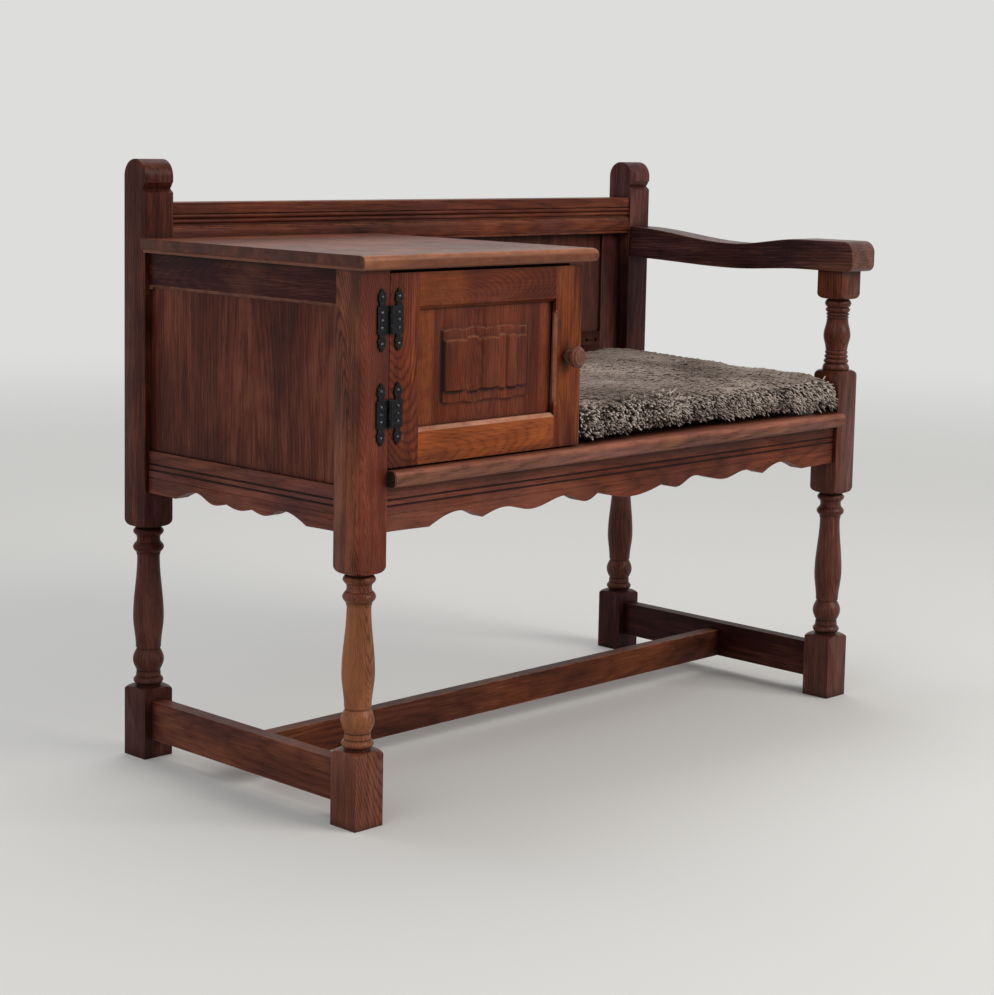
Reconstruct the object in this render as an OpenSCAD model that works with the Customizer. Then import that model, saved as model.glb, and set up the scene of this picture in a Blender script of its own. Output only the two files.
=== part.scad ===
// Telephone bench in carved oak: a small cupboard with a linenfold door at the left,
// an open padded seat with one arm at the right, four turned legs and an H of stretchers.
// Lengths are in millimetres. Shapes are written from the left front corner of the posts,
// x to the right, y to the back, and placed() moves them so that the origin lies on the
// floor under the middle of the whole bench.

/* [Overall] */
// Width over the posts
bench_w = 990; // [900:5:1100]
// Depth over the posts
bench_d = 457; // [420:1:500]
// Side of the square posts
post = 44.5; // [42:0.5:48]
// Height of the top face of the seat board
seat_h = 431; // [400:1:460]
// Height of the back posts over the seat board
back_rise = 356; // [330:1:400]
// Height of the cupboard's top over the seat board
cupboard_rise = 255; // [230:1:275]
// Width of the cupboard from the left posts' outer faces
cupboard_w = 379; // [340:1:420]

/* [Legs] */
// Height of the square foot at its corners
foot_h = 88; // [84:1:95]
// Distance from the seat board's top down to where the turning ends
leg_drop = 122; // [110:1:140]
// Height that the lathe cuts into the corners at the top of the foot
foot_shoulder = 6; // [4:1:12]
// Height that the lathe cuts into the corners of the square posts
block_shoulder = 8; // [5:1:10]

/* [Stretchers] */
// Height of the stretchers' lower edges
stretcher_z = 25; // [20:1:30]
// Height of the side stretchers' section
side_stretcher_h = 52; // [44:1:54]
// Height of the centre stretcher's section
centre_stretcher_h = 41; // [35:1:43]
// Thickness of the stretchers
stretcher_t = 20; // [16:1:24]

/* [Rails and aprons] */
// How far rails and aprons sit back from the posts' outer faces
rail_set = 6; // [3:0.5:8]
// Thickness of rails and aprons
rail_t = 20; // [18:1:22]
// Height of the aprons at their straight ends
apron_h = 55; // [50:1:60]
// Height of the highest arch over the lowest lobe on the front apron
front_scallop = 16; // [10:1:20]
// The same height on the side aprons
side_scallop = 13; // [8:1:16]
// Radius of the two grooves along the aprons
groove_r = 1.3; // [0.8:0.1:2]
// Distance of the upper groove below the seat board
groove_drop = 17; // [14:1:20]
// Distance between the two grooves
groove_pitch = 7.5; // [5:0.5:10]
// Length of the tenons
tenon_l = 15; // [10:1:15]
// Thickness of the tenons
tenon_t = 9; // [6:0.5:10]
// Shoulder above and below each tenon
tenon_shoulder = 8; // [5:1:9]

/* [Seat] */
// Thickness of the seat board
seat_t = 20; // [18:1:22]
// How far the nosing stands in front of the posts
nosing = 14; // [10:1:18]
// Radius of the nosing's edges
nosing_round = 6; // [3:0.5:8]
// How far the board stands past the right apron
seat_side_over = 3; // [1:0.5:5]
// Width of the glue blocks under the seat
block_w = 40; // [30:1:50]
// Depth of the glue blocks
block_d = 24; // [18:1:28]
// Height of the glue blocks
block_h = 28; // [22:1:32]

/* [Cupboard] */
// Thickness of the top
top_t = 18; // [16:1:20]
// Overhang of the top at the left
top_left_over = 8; // [6:1:12]
// Overhang of the top at the right
top_right_over = 17.5; // [12:0.5:22]
// Overhang of the top at the front
top_front_over = 12; // [8:1:16]
// Radius on the front and right edges of the top
top_round = 7; // [4:0.5:8]
// Radius of the cove under the top's left edge
top_cove_r = 5; // [3:0.5:5.5]
// Height of the left top rail
side_rail_h = 47; // [40:1:52]
// Size of the stopped chamfer under the left top rail
stop_chamfer = 5; // [3:0.5:6]
// Distance of the chamfer's stops from the posts
chamfer_stop = 7; // [4:1:50]
// Thickness of the side panels
panel_t = 8; // [6:0.5:9]
// How far the side panels sit back from their frame
panel_set = 4; // [2:0.5:5]
// How deep panels enter their grooves
panel_groove = 7; // [5:0.5:8]
// Width of the stiles and rails of the right side
side_stile_w = 44; // [38:1:50]
// Height of the front rail behind the door
front_rail_h = 22; // [18:1:26]
// Thickness of the front rail
front_rail_t = 18; // [16:1:20]
// Width and height of the cleats that hold the top
cleat_w = 16; // [14:1:18]

/* [Door] */
// Thickness of the door
door_t = 20; // [18:1:22]
// Gap between the door and the hinge post
door_side_gap = 1; // [0.8:0.1:1.5]
// Gap over the door
door_top_gap = 4; // [2:0.5:5]
// Gap under the door
door_bottom_gap = 2.5; // [1.5:0.5:4]
// Gap behind the door
door_back_gap = 1.5; // [1.5:0.1:2]
// Width of the door's stiles
door_stile_w = 48; // [44:1:52]
// Height of the door's rails
door_rail_h = 44.5; // [40:0.5:48]
// How far the flat of the door panel sits back from the frame
door_panel_set = 8; // [7:0.5:9]
// Thickness of the flat of the door panel
door_panel_t = 7; // [6:0.5:8]
// Size of the chamfers on the rails round the panel
rail_chamfer = 4.5; // [2:0.5:6]
// Size of the stopped chamfers on the stiles
stile_chamfer = 3.5; // [2:0.5:5]
// Distance of the stiles' chamfers from the rails
stile_chamfer_stop = 14; // [8:1:24]
// Distance of the linenfold carving from the stiles
linen_side_margin = 45; // [35:1:60]
// Distance of the folds' ends from the rails
linen_end_margin = 35.5; // [28:0.5:42]
// How far the folds stand out of the panel
linen_rise = 5; // [3:0.5:6]
// How far the hems run past the folds
linen_hem = 10; // [5:0.5:12]

/* [Knob] */
// Diameter of the knob
knob_d = 28; // [24:1:32]
// How far the knob stands out of the door
knob_l = 23; // [20:1:26]

/* [Hinges] */
// Height of each hinge over its finials
hinge_h = 75; // [70:1:80]
// Height of the middle of the hinge
hinge_body_h = 33; // [30:1:36]
// Width of each leaf from the pin's axis
hinge_leaf_w = 20.5; // [19:0.5:21]
// Width of the strap that carries the finials
hinge_strap_w = 14; // [12:0.5:15]
// Thickness of the leaves
hinge_t = 2; // [1.5:0.1:2.5]
// Radius of the knuckles
knuckle_r = 3; // [2.8:0.1:3.5]
// Radius of the hinge pins
pin_r = 1.5; // [1.2:0.1:1.6]
// Distance of the upper hinge's middle below the door's top
hinge_top_drop = 54.5; // [50:0.5:60]
// Distance of the lower hinge's middle above the door's bottom
hinge_low_rise = 65; // [55:0.5:75]
// Radius of the studs' heads
stud_r = 2.1; // [1.8:0.1:2.3]

/* [Back] */
// Distance of the back rail's top below the tops of the posts
back_rail_drop = 56; // [46:1:70]
// Height of the back rail's section
back_rail_h = 55; // [45:1:56]
// Thickness of the back rail
back_rail_t = 36; // [33:0.5:38]
// How far the back rail sits back from the posts' faces
back_rail_set = 2.5; // [1:0.5:4]
// How far the frame of the back sits back from the posts' faces
back_frame_set = 21.5; // [18:0.5:22]
// Thickness of the frame of the back
back_frame_t = 17; // [15:1:18]
// How far the plain rail under the seat sits back from the posts' faces
back_seat_set = 8.5; // [6:0.5:10]
// Width of the back's stiles
back_stile_w = 40.5; // [30:0.5:46]
// Height of the top of the back's lower rail over the seat board
back_low_rise = 89; // [75:1:110]
// Height of the notch under the rounded post top
notch_drop = 30; // [26:1:34]
// Height of the notch
notch_h = 13; // [10:1:15]
// Depth of the notch
notch_d = 7; // [4:0.5:9]

/* [Arm] */
// Height of the arm's top over the seat board, at its front
arm_rise = 251; // [240:1:270]
// Thickness of the arm at its front
arm_t = 44; // [36:1:48]
// Width of the arm at the front
arm_front_w = 55; // [48:1:60]
// Width of the arm at the back post
arm_back_w = 41; // [36:1:44]
// How far the arm stands in front of the posts
arm_over = 20; // [14:1:26]
// Height of the square above the arm support's turning
support_block_h = 41; // [34:1:44]
// Height of the square post above the seat board
seat_block_rise = 60; // [56:1:70]

/* [Seat pad] */
// Thickness of the pad at its edge
pad_h = 57; // [46:1:64]
// How much the middle of the pad stands over its edge
pad_crown = 7; // [2:1:12]
// How far the pad's sides draw in between its corners
pad_draw = 3; // [0:0.5:5]
// Gap between the pad and the right posts
pad_post_gap = 7.5; // [5:0.5:12]
// Gap between the pad and the cupboard
pad_side_gap = 3; // [1:0.5:6]

/* [Hidden] */
$fn = 48;
// overrun of every cut past the face that it opens
over = 1;
// gap between a soft or moving piece and what it rests against
rest_gap = 0.3;
// radial gap round shanks, pins and round tenons
shank_gap = 0.05;

frame_oak = "#5b2d1c";
door_oak = "#8a4420";
dark_oak = "#43211a";
pale_oak = "#7b5238";
iron = "#17181b";
steel = "#9b9c9e";
wool = "#75695f";

// levels and faces that several pieces share
half = post / 2;
cupboard_h = seat_h + cupboard_rise;
back_h = seat_h + back_rise;
leg_top = seat_h - leg_drop;
back_rail_top = back_h - back_rail_drop;
back_low_top = seat_h + back_low_rise;
arm_h = seat_h + arm_rise;
arm_low = arm_h - arm_t;
back_y = bench_d - post;
right_x = bench_w - post;
seat_low = seat_h - seat_t;
top_low = cupboard_h - top_t;
apron_low = seat_low - apron_h;
door_low = seat_h + door_bottom_gap;
door_high = top_low - door_top_gap;
door_h = door_high - door_low;
door_x0 = post + door_side_gap;
door_x1 = cupboard_w;
side_x0 = cupboard_w - rail_t;
side_y0 = door_t + door_back_gap;
back_rail_y = back_y + back_rail_set;
back_rail_low = back_rail_top - back_rail_h;
frame_y = back_y + back_frame_set;
left_panel_x = rail_set + panel_set;
front_reach = knob_l;
arm_side_over = (arm_front_w - post) / 2;
centre_x = (bench_w + arm_side_over - top_left_over) / 2;
centre_y = (bench_d - front_reach) / 2;

// turned outlines, bottom to top: start and end as shares of the turned height,
// radius at the start and end and the bulge between them as shares of half the post
leg_turning_shares = [
    [0.000, 0.012, 0.70, 0.70, 0],
    [0.012, 0.058, 0.76, 0.74, 0.13],
    [0.058, 0.064, 0.70, 0.70, 0],
    [0.064, 0.092, 0.73, 0.71, 0],
    [0.092, 0.100, 0.66, 0.66, 0],
    [0.100, 0.228, 0.71, 0.71, 0.21],
    [0.228, 0.240, 0.68, 0.68, 0],
    [0.240, 0.435, 0.74, 0.905, 0],
    [0.435, 0.805, 0.905, 0.665, 0],
    [0.805, 0.828, 0.665, 0.71, 0],
    [0.828, 0.834, 0.70, 0.70, 0],
    [0.834, 0.896, 0.73, 0.73, 0.18],
    [0.896, 0.938, 0.72, 0.72, -0.04],
    [0.938, 0.988, 0.74, 0.74, 0.16],
    [0.988, 1.000, 0.70, 0.70, 0]];
support_turning_shares = [
    [0.000, 0.085, 0.86, 0.80, 0.05],
    [0.085, 0.098, 0.72, 0.72, 0],
    [0.098, 0.152, 0.75, 0.75, 0.07],
    [0.152, 0.165, 0.70, 0.70, 0],
    [0.165, 0.212, 0.72, 0.72, 0.06],
    [0.212, 0.224, 0.68, 0.68, 0],
    [0.224, 0.274, 0.70, 0.70, 0.05],
    [0.274, 0.286, 0.67, 0.67, 0],
    [0.286, 0.488, 0.72, 0.89, 0],
    [0.488, 0.712, 0.89, 0.71, 0],
    [0.712, 0.722, 0.67, 0.67, 0],
    [0.722, 0.752, 0.69, 0.69, 0.05],
    [0.752, 0.762, 0.67, 0.67, 0],
    [0.762, 0.800, 0.70, 0.70, 0.06],
    [0.800, 0.812, 0.68, 0.68, 0],
    [0.812, 0.872, 0.73, 0.73, 0.08],
    [0.872, 0.884, 0.70, 0.70, 0],
    [0.884, 0.985, 0.76, 0.74, 0.12],
    [0.985, 1.000, 0.70, 0.70, 0]];
// steps along a bead and along a long curve
bead_steps = 8;
curve_steps = 14;
// radius of the flat under a square block and of the foot's top, as shares of half the post
block_flat_share = 0.99;
foot_flat_share = 0.74;
// radius of the blank outside the square, as a share of half the post
blank_share = 1.5;
corner_share = sqrt(2);

function blend_to(a, b, u) = a + (b - a) * (1 - cos(180 * u)) / 2;
function turned(rows, z0, z1) = [
    for (row = rows)
        let (steps = row[4] != 0 ? bead_steps : (row[2] == row[3] ? 1 : curve_steps))
        for (i = [0:steps])
            let (u = i / steps)
            [half * (blend_to(row[2], row[3], u) + row[4] * sin(180 * u)),
             z0 + (z1 - z0) * (row[0] + (row[1] - row[0]) * u)]];
// rounding of a square block's corners where the lathe cut into them, from the flat outwards
function shoulder(flat_share, z_flat, z_full) = [
    for (i = [0:bead_steps])
        let (u = 90 * i / bead_steps)
        [half * (flat_share + (corner_share - flat_share) * sin(u)),
         z_flat + (z_full - z_flat) * (1 - cos(u))]];
function last(list) = list[len(list) - 1];
function reversed(list) = [for (i = [len(list) - 1:-1:0]) list[i]];

leg_outline = concat(
    [[0, 0], [half * blank_share, 0], [half * blank_share, foot_h]],
    reversed(shoulder(foot_flat_share, foot_h + foot_shoulder, foot_h)),
    turned(leg_turning_shares, foot_h + foot_shoulder, leg_top),
    shoulder(block_flat_share, leg_top, leg_top + block_shoulder),
    [[half * blank_share, leg_top + block_shoulder]]);
support_low = seat_h + seat_block_rise;
support_high = arm_low - support_block_h;
support_outline = concat(
    [[half * blank_share, support_low - block_shoulder]],
    reversed(shoulder(block_flat_share, support_low, support_low - block_shoulder)),
    turned(support_turning_shares, support_low, support_high),
    shoulder(block_flat_share, support_high, support_high + block_shoulder),
    [[half * blank_share, support_high + block_shoulder]]);
// round tenon on top of the arm support
dowel_r = 10;
dowel_l = 20;

// shoulder of a tenon on a rail that carries a panel: the groove's depth and the wood below it
groove_wall = 2;
grooved_shoulder = panel_groove + groove_wall;

module placed() {
    translate([-centre_x, -centre_y, 0]) children();
}

// square blank turned between its blocks
module turned_post(outline, height) {
    intersection() {
        cube([post, post, height]);
        translate([half, half, 0])
            rotate_extrude() polygon(concat(outline,
                [[half * blank_share, height + over], [0, height + over]]));
    }
}

// length of each tenon that lies inside its own rail
tenon_root = 3;
// bar with a box section and a tenon at each end, running along x
module rail_x(x0, x1, y0, z0, t, h, tenon = tenon_l, shoulder = tenon_shoulder) {
    translate([x0, y0, z0]) cube([x1 - x0, t, h]);
    tenon_pair_x(x0, x1, y0, z0, t, h, tenon, shoulder);
}
module tenon_pair_x(x0, x1, y0, z0, t, h, tenon = tenon_l, shoulder = tenon_shoulder) {
    for (x = [x0 - tenon, x1 - tenon_root])
        translate([x, y0 + (t - tenon_t) / 2, z0 + shoulder])
            cube([tenon + tenon_root, tenon_t, h - 2 * shoulder]);
}
// the same along y
module rail_y(y0, y1, x0, z0, t, h, tenon = tenon_l, shoulder = tenon_shoulder) {
    translate([x0, y0, z0]) cube([t, y1 - y0, h]);
    tenon_pair_y(y0, y1, x0, z0, t, h, tenon, shoulder);
}
module tenon_pair_y(y0, y1, x0, z0, t, h, tenon = tenon_l, shoulder = tenon_shoulder) {
    for (y = [y0 - tenon, y1 - tenon_root])
        translate([x0 + (t - tenon_t) / 2, y, z0 + shoulder])
            cube([tenon_t, tenon + tenon_root, h - 2 * shoulder]);
}
// what a round edge of radius r takes away along x, the corner at the origin
module edge_round(length, r) {
    difference() {
        translate([-over, -over, -over]) cube([length + 2 * over, r + over, r + over]);
        translate([-2 * over, r, r]) rotate([0, 90, 0]) cylinder(r = r, h = length + 4 * over);
    }
}
// what a chamfer takes away along z, and along x, the corner at the origin
module upright_chamfer(length, size) {
    linear_extrude(length)
        polygon([[-over, -over], [size + over, -over], [-over, size + over]]);
}
module edge_chamfer(length, size) {
    rotate([90, 0, 90]) upright_chamfer(length, size);
}
// screw with a flat countersunk head at the origin, running up along z
module screw(length, r, head_r) {
    cylinder(r1 = head_r, r2 = r, h = head_r - r);
    cylinder(r = r, h = length);
}
module screw_hole(length, r, head_r) {
    translate([0, 0, -over]) cylinder(r = head_r + shank_gap, h = over);
    cylinder(r1 = head_r + shank_gap, r2 = r + shank_gap, h = head_r - r);
    cylinder(r = r + shank_gap, h = length + shank_gap);
}
screw_r = 2;
screw_head_r = 4;
// share of a board or knob that its screw enters
bite_share = 0.6;

// stretchers
side_stretcher_set = (post - stretcher_t) / 2;
left_stretcher_x = side_stretcher_set;
right_stretcher_x = bench_w - side_stretcher_set - stretcher_t;
centre_stretcher_y = (bench_d - stretcher_t) / 2;
centre_tenon_l = 12;

module left_stretcher_bar() {
    rail_y(post, back_y, left_stretcher_x, stretcher_z, stretcher_t, side_stretcher_h);
}
module right_stretcher_bar() {
    rail_y(post, back_y, right_stretcher_x, stretcher_z, stretcher_t, side_stretcher_h);
}
module centre_stretcher_bar() {
    rail_x(left_stretcher_x + stretcher_t, right_stretcher_x, centre_stretcher_y,
        stretcher_z, stretcher_t, centre_stretcher_h, centre_tenon_l);
}
module left_stretcher() {
    color(frame_oak) placed() difference() {
        left_stretcher_bar();
        centre_stretcher_bar();
    }
}
module right_stretcher() {
    color(dark_oak) placed() difference() {
        right_stretcher_bar();
        centre_stretcher_bar();
    }
}
module centre_stretcher() {
    color(frame_oak) placed() centre_stretcher_bar();
}

// aprons: distance from the middle as a share of the half length, height over the lowest
// lobe as a share of the scallop, and 1 where the outline has a sharp point
front_scallop_shares = [
    [0, 0, 0], [0.151, 0.75, 1], [0.204, 0.19, 0], [0.289, 0.94, 0], [0.433, 0.25, 0],
    [0.539, 0.75, 0], [0.628, 0.22, 1], [0.721, 1, 0], [0.832, 0.1, 1], [1, 0.19, 0]];
side_scallop_shares = [
    [0, 0.15, 0], [0.136, 0.5, 1], [0.266, 0.15, 0], [0.467, 1, 0], [0.696, 0, 1], [1, 0.08, 0]];
scallop_steps = 7;
function ease(u, sharp0, sharp1) =
    sharp0 + sharp1 == 2 ? u
    : sharp0 == 1 ? sin(90 * u)
    : sharp1 == 1 ? 1 - cos(90 * u)
    : (1 - cos(180 * u)) / 2;
function scallop_side(rows, reach, low, rise) = [
    for (k = [0:len(rows) - 2])
        for (i = [0:scallop_steps - 1])
            let (a = rows[k], b = rows[k + 1], u = i / scallop_steps)
            [reach * (a[0] + (b[0] - a[0]) * u),
             low + rise * (a[1] + (b[1] - a[1]) * ease(u, a[2], b[2]))]];
function scallop_outline(rows, reach, low, rise, top) =
    let (side = scallop_side(rows, reach, low, rise),
         tail = low + rise * last(rows)[1])
    concat([[-reach, top], [-reach, tail]],
        [for (i = [len(side) - 1:-1:1]) [-side[i][0], side[i][1]]],
        side, [[reach, tail], [reach, top]]);

front_reach_half = (bench_w - 2 * post) / 2;
side_reach_half = (bench_d - 2 * post) / 2;
front_lobe_low = apron_low - front_scallop * last(front_scallop_shares)[1];
side_lobe_low = apron_low - side_scallop * last(side_scallop_shares)[1];
// the faint third line under the grooves
scratch_r = 0.6;
scratch_drop = 35;

module apron_grooves(length) {
    for (drop = [groove_drop, groove_drop + groove_pitch])
        translate([-length / 2 - over, 0, seat_low - drop])
            rotate([0, 90, 0]) cylinder(r = groove_r, h = length + 2 * over);
    translate([-length / 2 - over, 0, seat_low - scratch_drop])
        rotate([0, 90, 0]) cylinder(r = scratch_r, h = length + 2 * over);
}
module apron_board(rows, reach, low, rise) {
    difference() {
        translate([0, rail_t, 0]) rotate([90, 0, 0]) linear_extrude(rail_t)
            polygon(scallop_outline(rows, reach, low, rise, seat_low));
        apron_grooves(2 * reach);
    }
}
module front_apron_tenons() {
    tenon_pair_x(post, right_x, rail_set, apron_low, rail_t, apron_h);
}
module left_apron_tenons() {
    tenon_pair_y(post, back_y, rail_set, apron_low, rail_t, apron_h);
}
module right_apron_tenons() {
    tenon_pair_y(post, back_y, bench_w - rail_set - rail_t, apron_low, rail_t, apron_h);
}
module front_apron() {
    color(frame_oak) placed() {
        translate([bench_w / 2, rail_set, 0])
            apron_board(front_scallop_shares, front_reach_half, front_lobe_low, front_scallop);
        front_apron_tenons();
    }
}
module left_apron() {
    color(frame_oak) placed() {
        translate([rail_set, bench_d / 2, 0]) rotate([0, 0, -90])
            apron_board(side_scallop_shares, side_reach_half, side_lobe_low, side_scallop);
        left_apron_tenons();
    }
}
module right_apron() {
    color(frame_oak) placed() {
        translate([bench_w - rail_set, bench_d / 2, 0]) rotate([0, 0, 90])
            apron_board(side_scallop_shares, side_reach_half, side_lobe_low, side_scallop);
        right_apron_tenons();
    }
}
// the plain rail under the back of the seat
back_seat_rail_y = back_y + back_seat_set;
module back_seat_rail_bar() {
    rail_x(post, right_x, back_seat_rail_y, apron_low, rail_t, apron_h);
}
module back_seat_rail() {
    color(dark_oak) placed() back_seat_rail_bar();
}

// seat board, notched round the four posts, with a rounded nosing between the front ones
seat_right_x = bench_w - rail_set + seat_side_over;
seat_left_x = left_panel_x + panel_t;
module seat_outline() {
    polygon([[post, -nosing], [right_x, -nosing], [right_x, post], [seat_right_x, post],
        [seat_right_x, back_y], [right_x, back_y], [right_x, frame_y], [post, frame_y],
        [post, back_y], [seat_left_x, back_y], [seat_left_x, post], [post, post]]);
}
glue_block_shares = [0.13, 0.5, 0.87];
module seat_screw_places() {
    for (s = glue_block_shares)
        for (y = [rail_set + rail_t + block_d / 2, back_seat_rail_y - block_d / 2])
            translate([bench_w * s, y, seat_low - block_h]) children();
}
seat_screw_l = block_h + seat_t * bite_share;
module seat_board() {
    color(frame_oak) placed() difference() {
        translate([0, 0, seat_low]) linear_extrude(seat_t) seat_outline();
        translate([post, -nosing, seat_low]) edge_round(right_x - post, nosing_round);
        translate([post, -nosing, seat_h]) mirror([0, 0, 1]) edge_round(right_x - post, nosing_round);
        seat_screw_places() screw_hole(seat_screw_l, screw_r, screw_head_r);
    }
}
module seat_glue_blocks() {
    color(pale_oak) placed() difference() {
        seat_screw_places() translate([-block_w / 2, -block_d / 2, 0])
            cube([block_w, block_d, block_h]);
        seat_screw_places() screw_hole(seat_screw_l, screw_r, screw_head_r);
    }
}
module seat_screws() {
    color(steel) placed() seat_screw_places() screw(seat_screw_l, screw_r, screw_head_r);
}

// cupboard's left side: a rail with a stopped chamfer over a panel set in grooves
left_rail_low = top_low - side_rail_h;
module left_top_rail_tenons() {
    tenon_pair_y(post, back_y, rail_set, left_rail_low, rail_t, side_rail_h,
        tenon_l, grooved_shoulder);
}
module left_panel_board() {
    translate([left_panel_x, post - panel_groove, seat_low])
        cube([panel_t, back_y - post + 2 * panel_groove,
            left_rail_low + panel_groove - seat_low]);
}
module cupboard_left_top_rail() {
    color(frame_oak) placed() difference() {
        union() {
            translate([rail_set, post, left_rail_low])
                cube([rail_t, back_y - post, side_rail_h]);
            left_top_rail_tenons();
        }
        left_panel_board();
        translate([rail_set, back_y - chamfer_stop, left_rail_low]) rotate([0, 0, -90])
            edge_chamfer(back_y - post - 2 * chamfer_stop, stop_chamfer);
    }
}
module cupboard_left_panel() {
    color(frame_oak) placed() left_panel_board();
}

// cupboard's right side: two stiles and two rails round a panel
side_y1 = frame_y;
side_low_rail_h = side_stile_w;
side_panel_x = cupboard_w - panel_set - panel_t;
side_tenon_l = 12;
module right_low_rail_bar() {
    rail_y(side_y0 + side_stile_w, side_y1 - side_stile_w, side_x0, seat_h,
        rail_t, side_low_rail_h, side_tenon_l, grooved_shoulder);
}
module right_top_rail_bar() {
    rail_y(side_y0 + side_stile_w, side_y1 - side_stile_w, side_x0, top_low - side_rail_h,
        rail_t, side_rail_h, side_tenon_l, grooved_shoulder);
}
module right_panel_board() {
    translate([side_panel_x, side_y0 + side_stile_w - panel_groove,
        seat_h + side_low_rail_h - panel_groove])
        cube([panel_t, side_y1 - side_y0 - 2 * side_stile_w + 2 * panel_groove,
            top_low - side_rail_h - seat_h - side_low_rail_h + 2 * panel_groove]);
}
module right_stile_bar(y0) {
    difference() {
        translate([side_x0, y0, seat_h]) cube([rail_t, side_stile_w, top_low - seat_h]);
        right_low_rail_bar();
        right_top_rail_bar();
        right_panel_board();
    }
}
module cupboard_right_front_stile() {
    color(frame_oak) placed() difference() {
        right_stile_bar(side_y0);
        front_rail_bar();
    }
}
module cupboard_right_back_stile() {
    color(frame_oak) placed() right_stile_bar(side_y1 - side_stile_w);
}
module cupboard_right_low_rail() {
    color(frame_oak) placed() difference() {
        right_low_rail_bar();
        right_panel_board();
    }
}
module cupboard_right_top_rail() {
    color(frame_oak) placed() difference() {
        right_top_rail_bar();
        right_panel_board();
    }
}
module cupboard_right_panel() {
    color(frame_oak) placed() right_panel_board();
}

// rail behind the top of the door, which the door closes against
front_rail_shoulder = 5;
front_rail_tenon_l = 10;
module front_rail_bar() {
    translate([post, side_y0, top_low - front_rail_h])
        cube([side_x0 - post, front_rail_t, front_rail_h]);
    for (x = [post - front_rail_tenon_l, side_x0 - tenon_root])
        translate([x, side_y0 + (front_rail_t - tenon_t) / 2,
            top_low - front_rail_h + front_rail_shoulder])
            cube([front_rail_tenon_l + tenon_root, tenon_t,
                front_rail_h - 2 * front_rail_shoulder]);
}
module cupboard_front_rail() {
    color(frame_oak) placed() difference() {
        front_rail_bar();
        catch_screw_places() screw_hole(catch_screw_l, catch_screw_r, catch_screw_head_r);
    }
}

// cupboard top: rounded at the front and right, with a cove under its left edge
top_x0 = -top_left_over;
top_x1 = cupboard_w + top_right_over;
top_y0 = -top_front_over;
module top_outline() {
    polygon([[top_x0, top_y0], [top_x1, top_y0], [top_x1, back_y], [top_x0, back_y]]);
}
cleat_y0 = post + side_stile_w;
cleat_y1 = back_y - side_stile_w;
cleat_screw_inset = 50;
module cleat_bars() {
    for (x = [rail_set + rail_t, side_x0 - cleat_w])
        translate([x, cleat_y0, top_low - cleat_w])
            cube([cleat_w, cleat_y1 - cleat_y0, cleat_w]);
}
module cleat_screw_places() {
    for (x = [rail_set + rail_t + cleat_w / 2, side_x0 - cleat_w / 2])
        for (y = [cleat_y0 + cleat_screw_inset, cleat_y1 - cleat_screw_inset])
            translate([x, y, top_low - cleat_w]) children();
}
cleat_screw_l = cleat_w + top_t * bite_share;
module cupboard_top() {
    color(frame_oak) placed() difference() {
        translate([0, 0, top_low]) linear_extrude(top_t) top_outline();
        translate([top_x0, top_y0, top_low]) edge_round(top_x1 - top_x0, top_round);
        translate([top_x0, top_y0, cupboard_h])
            mirror([0, 0, 1]) edge_round(top_x1 - top_x0, top_round);
        translate([top_x1, top_y0, top_low])
            rotate([0, 0, 90]) edge_round(back_y - top_y0, top_round);
        translate([top_x1, top_y0, cupboard_h])
            mirror([0, 0, 1]) rotate([0, 0, 90]) edge_round(back_y - top_y0, top_round);
        translate([top_x0, top_y0 - over, top_low]) rotate([-90, 0, 0])
            cylinder(r = top_cove_r, h = back_y - top_y0 + 2 * over);
        cleat_screw_places() screw_hole(cleat_screw_l, screw_r, screw_head_r);
    }
}
module top_cleats() {
    color(pale_oak) placed() difference() {
        cleat_bars();
        cleat_screw_places() screw_hole(cleat_screw_l, screw_r, screw_head_r);
    }
}
module top_screws() {
    color(steel) placed() cleat_screw_places() screw(cleat_screw_l, screw_r, screw_head_r);
}

// door frame
door_tenon_l = 20;
door_rail_x0 = door_x0 + door_stile_w;
door_rail_x1 = door_x1 - door_stile_w;
module door_top_rail_bar() {
    rail_x(door_rail_x0, door_rail_x1, 0, door_high - door_rail_h, door_t, door_rail_h,
        door_tenon_l, grooved_shoulder);
}
module door_low_rail_bar() {
    rail_x(door_rail_x0, door_rail_x1, 0, door_low, door_t, door_rail_h,
        door_tenon_l, grooved_shoulder);
}
stile_chamfer_z = door_low + door_rail_h + stile_chamfer_stop;
stile_chamfer_l = door_h - 2 * door_rail_h - 2 * stile_chamfer_stop;
module door_panel_field() {
    translate([door_rail_x0 - panel_groove, door_panel_set,
        door_low + door_rail_h - panel_groove])
        cube([door_rail_x1 - door_rail_x0 + 2 * panel_groove, door_panel_t,
            door_h - 2 * door_rail_h + 2 * panel_groove]);
}
module door_hinge_stile() {
    color(door_oak) placed() difference() {
        translate([door_x0, 0, door_low]) cube([door_stile_w, door_t, door_h]);
        door_top_rail_bar();
        door_low_rail_bar();
        door_panel_field();
        hinge_places() door_stud_places() stud_hole();
        translate([door_rail_x0, 0, stile_chamfer_z])
            mirror([1, 0, 0]) upright_chamfer(stile_chamfer_l, stile_chamfer);
    }
}
module door_lock_stile() {
    color(door_oak) placed() difference() {
        translate([door_rail_x1, 0, door_low]) cube([door_stile_w, door_t, door_h]);
        door_top_rail_bar();
        door_low_rail_bar();
        door_panel_field();
        translate([door_rail_x1, 0, stile_chamfer_z])
            upright_chamfer(stile_chamfer_l, stile_chamfer);
        knob_place() screw_hole(knob_screw_l, screw_r, screw_head_r);
    }
}
module door_top_rail() {
    color(door_oak) placed() difference() {
        door_top_rail_bar();
        door_panel_field();
        translate([door_rail_x0, 0, door_high - door_rail_h])
            edge_chamfer(door_rail_x1 - door_rail_x0, rail_chamfer);
        strike_screw_places() screw_hole(strike_screw_l, strike_screw_r, strike_screw_head_r);
    }
}
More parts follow.
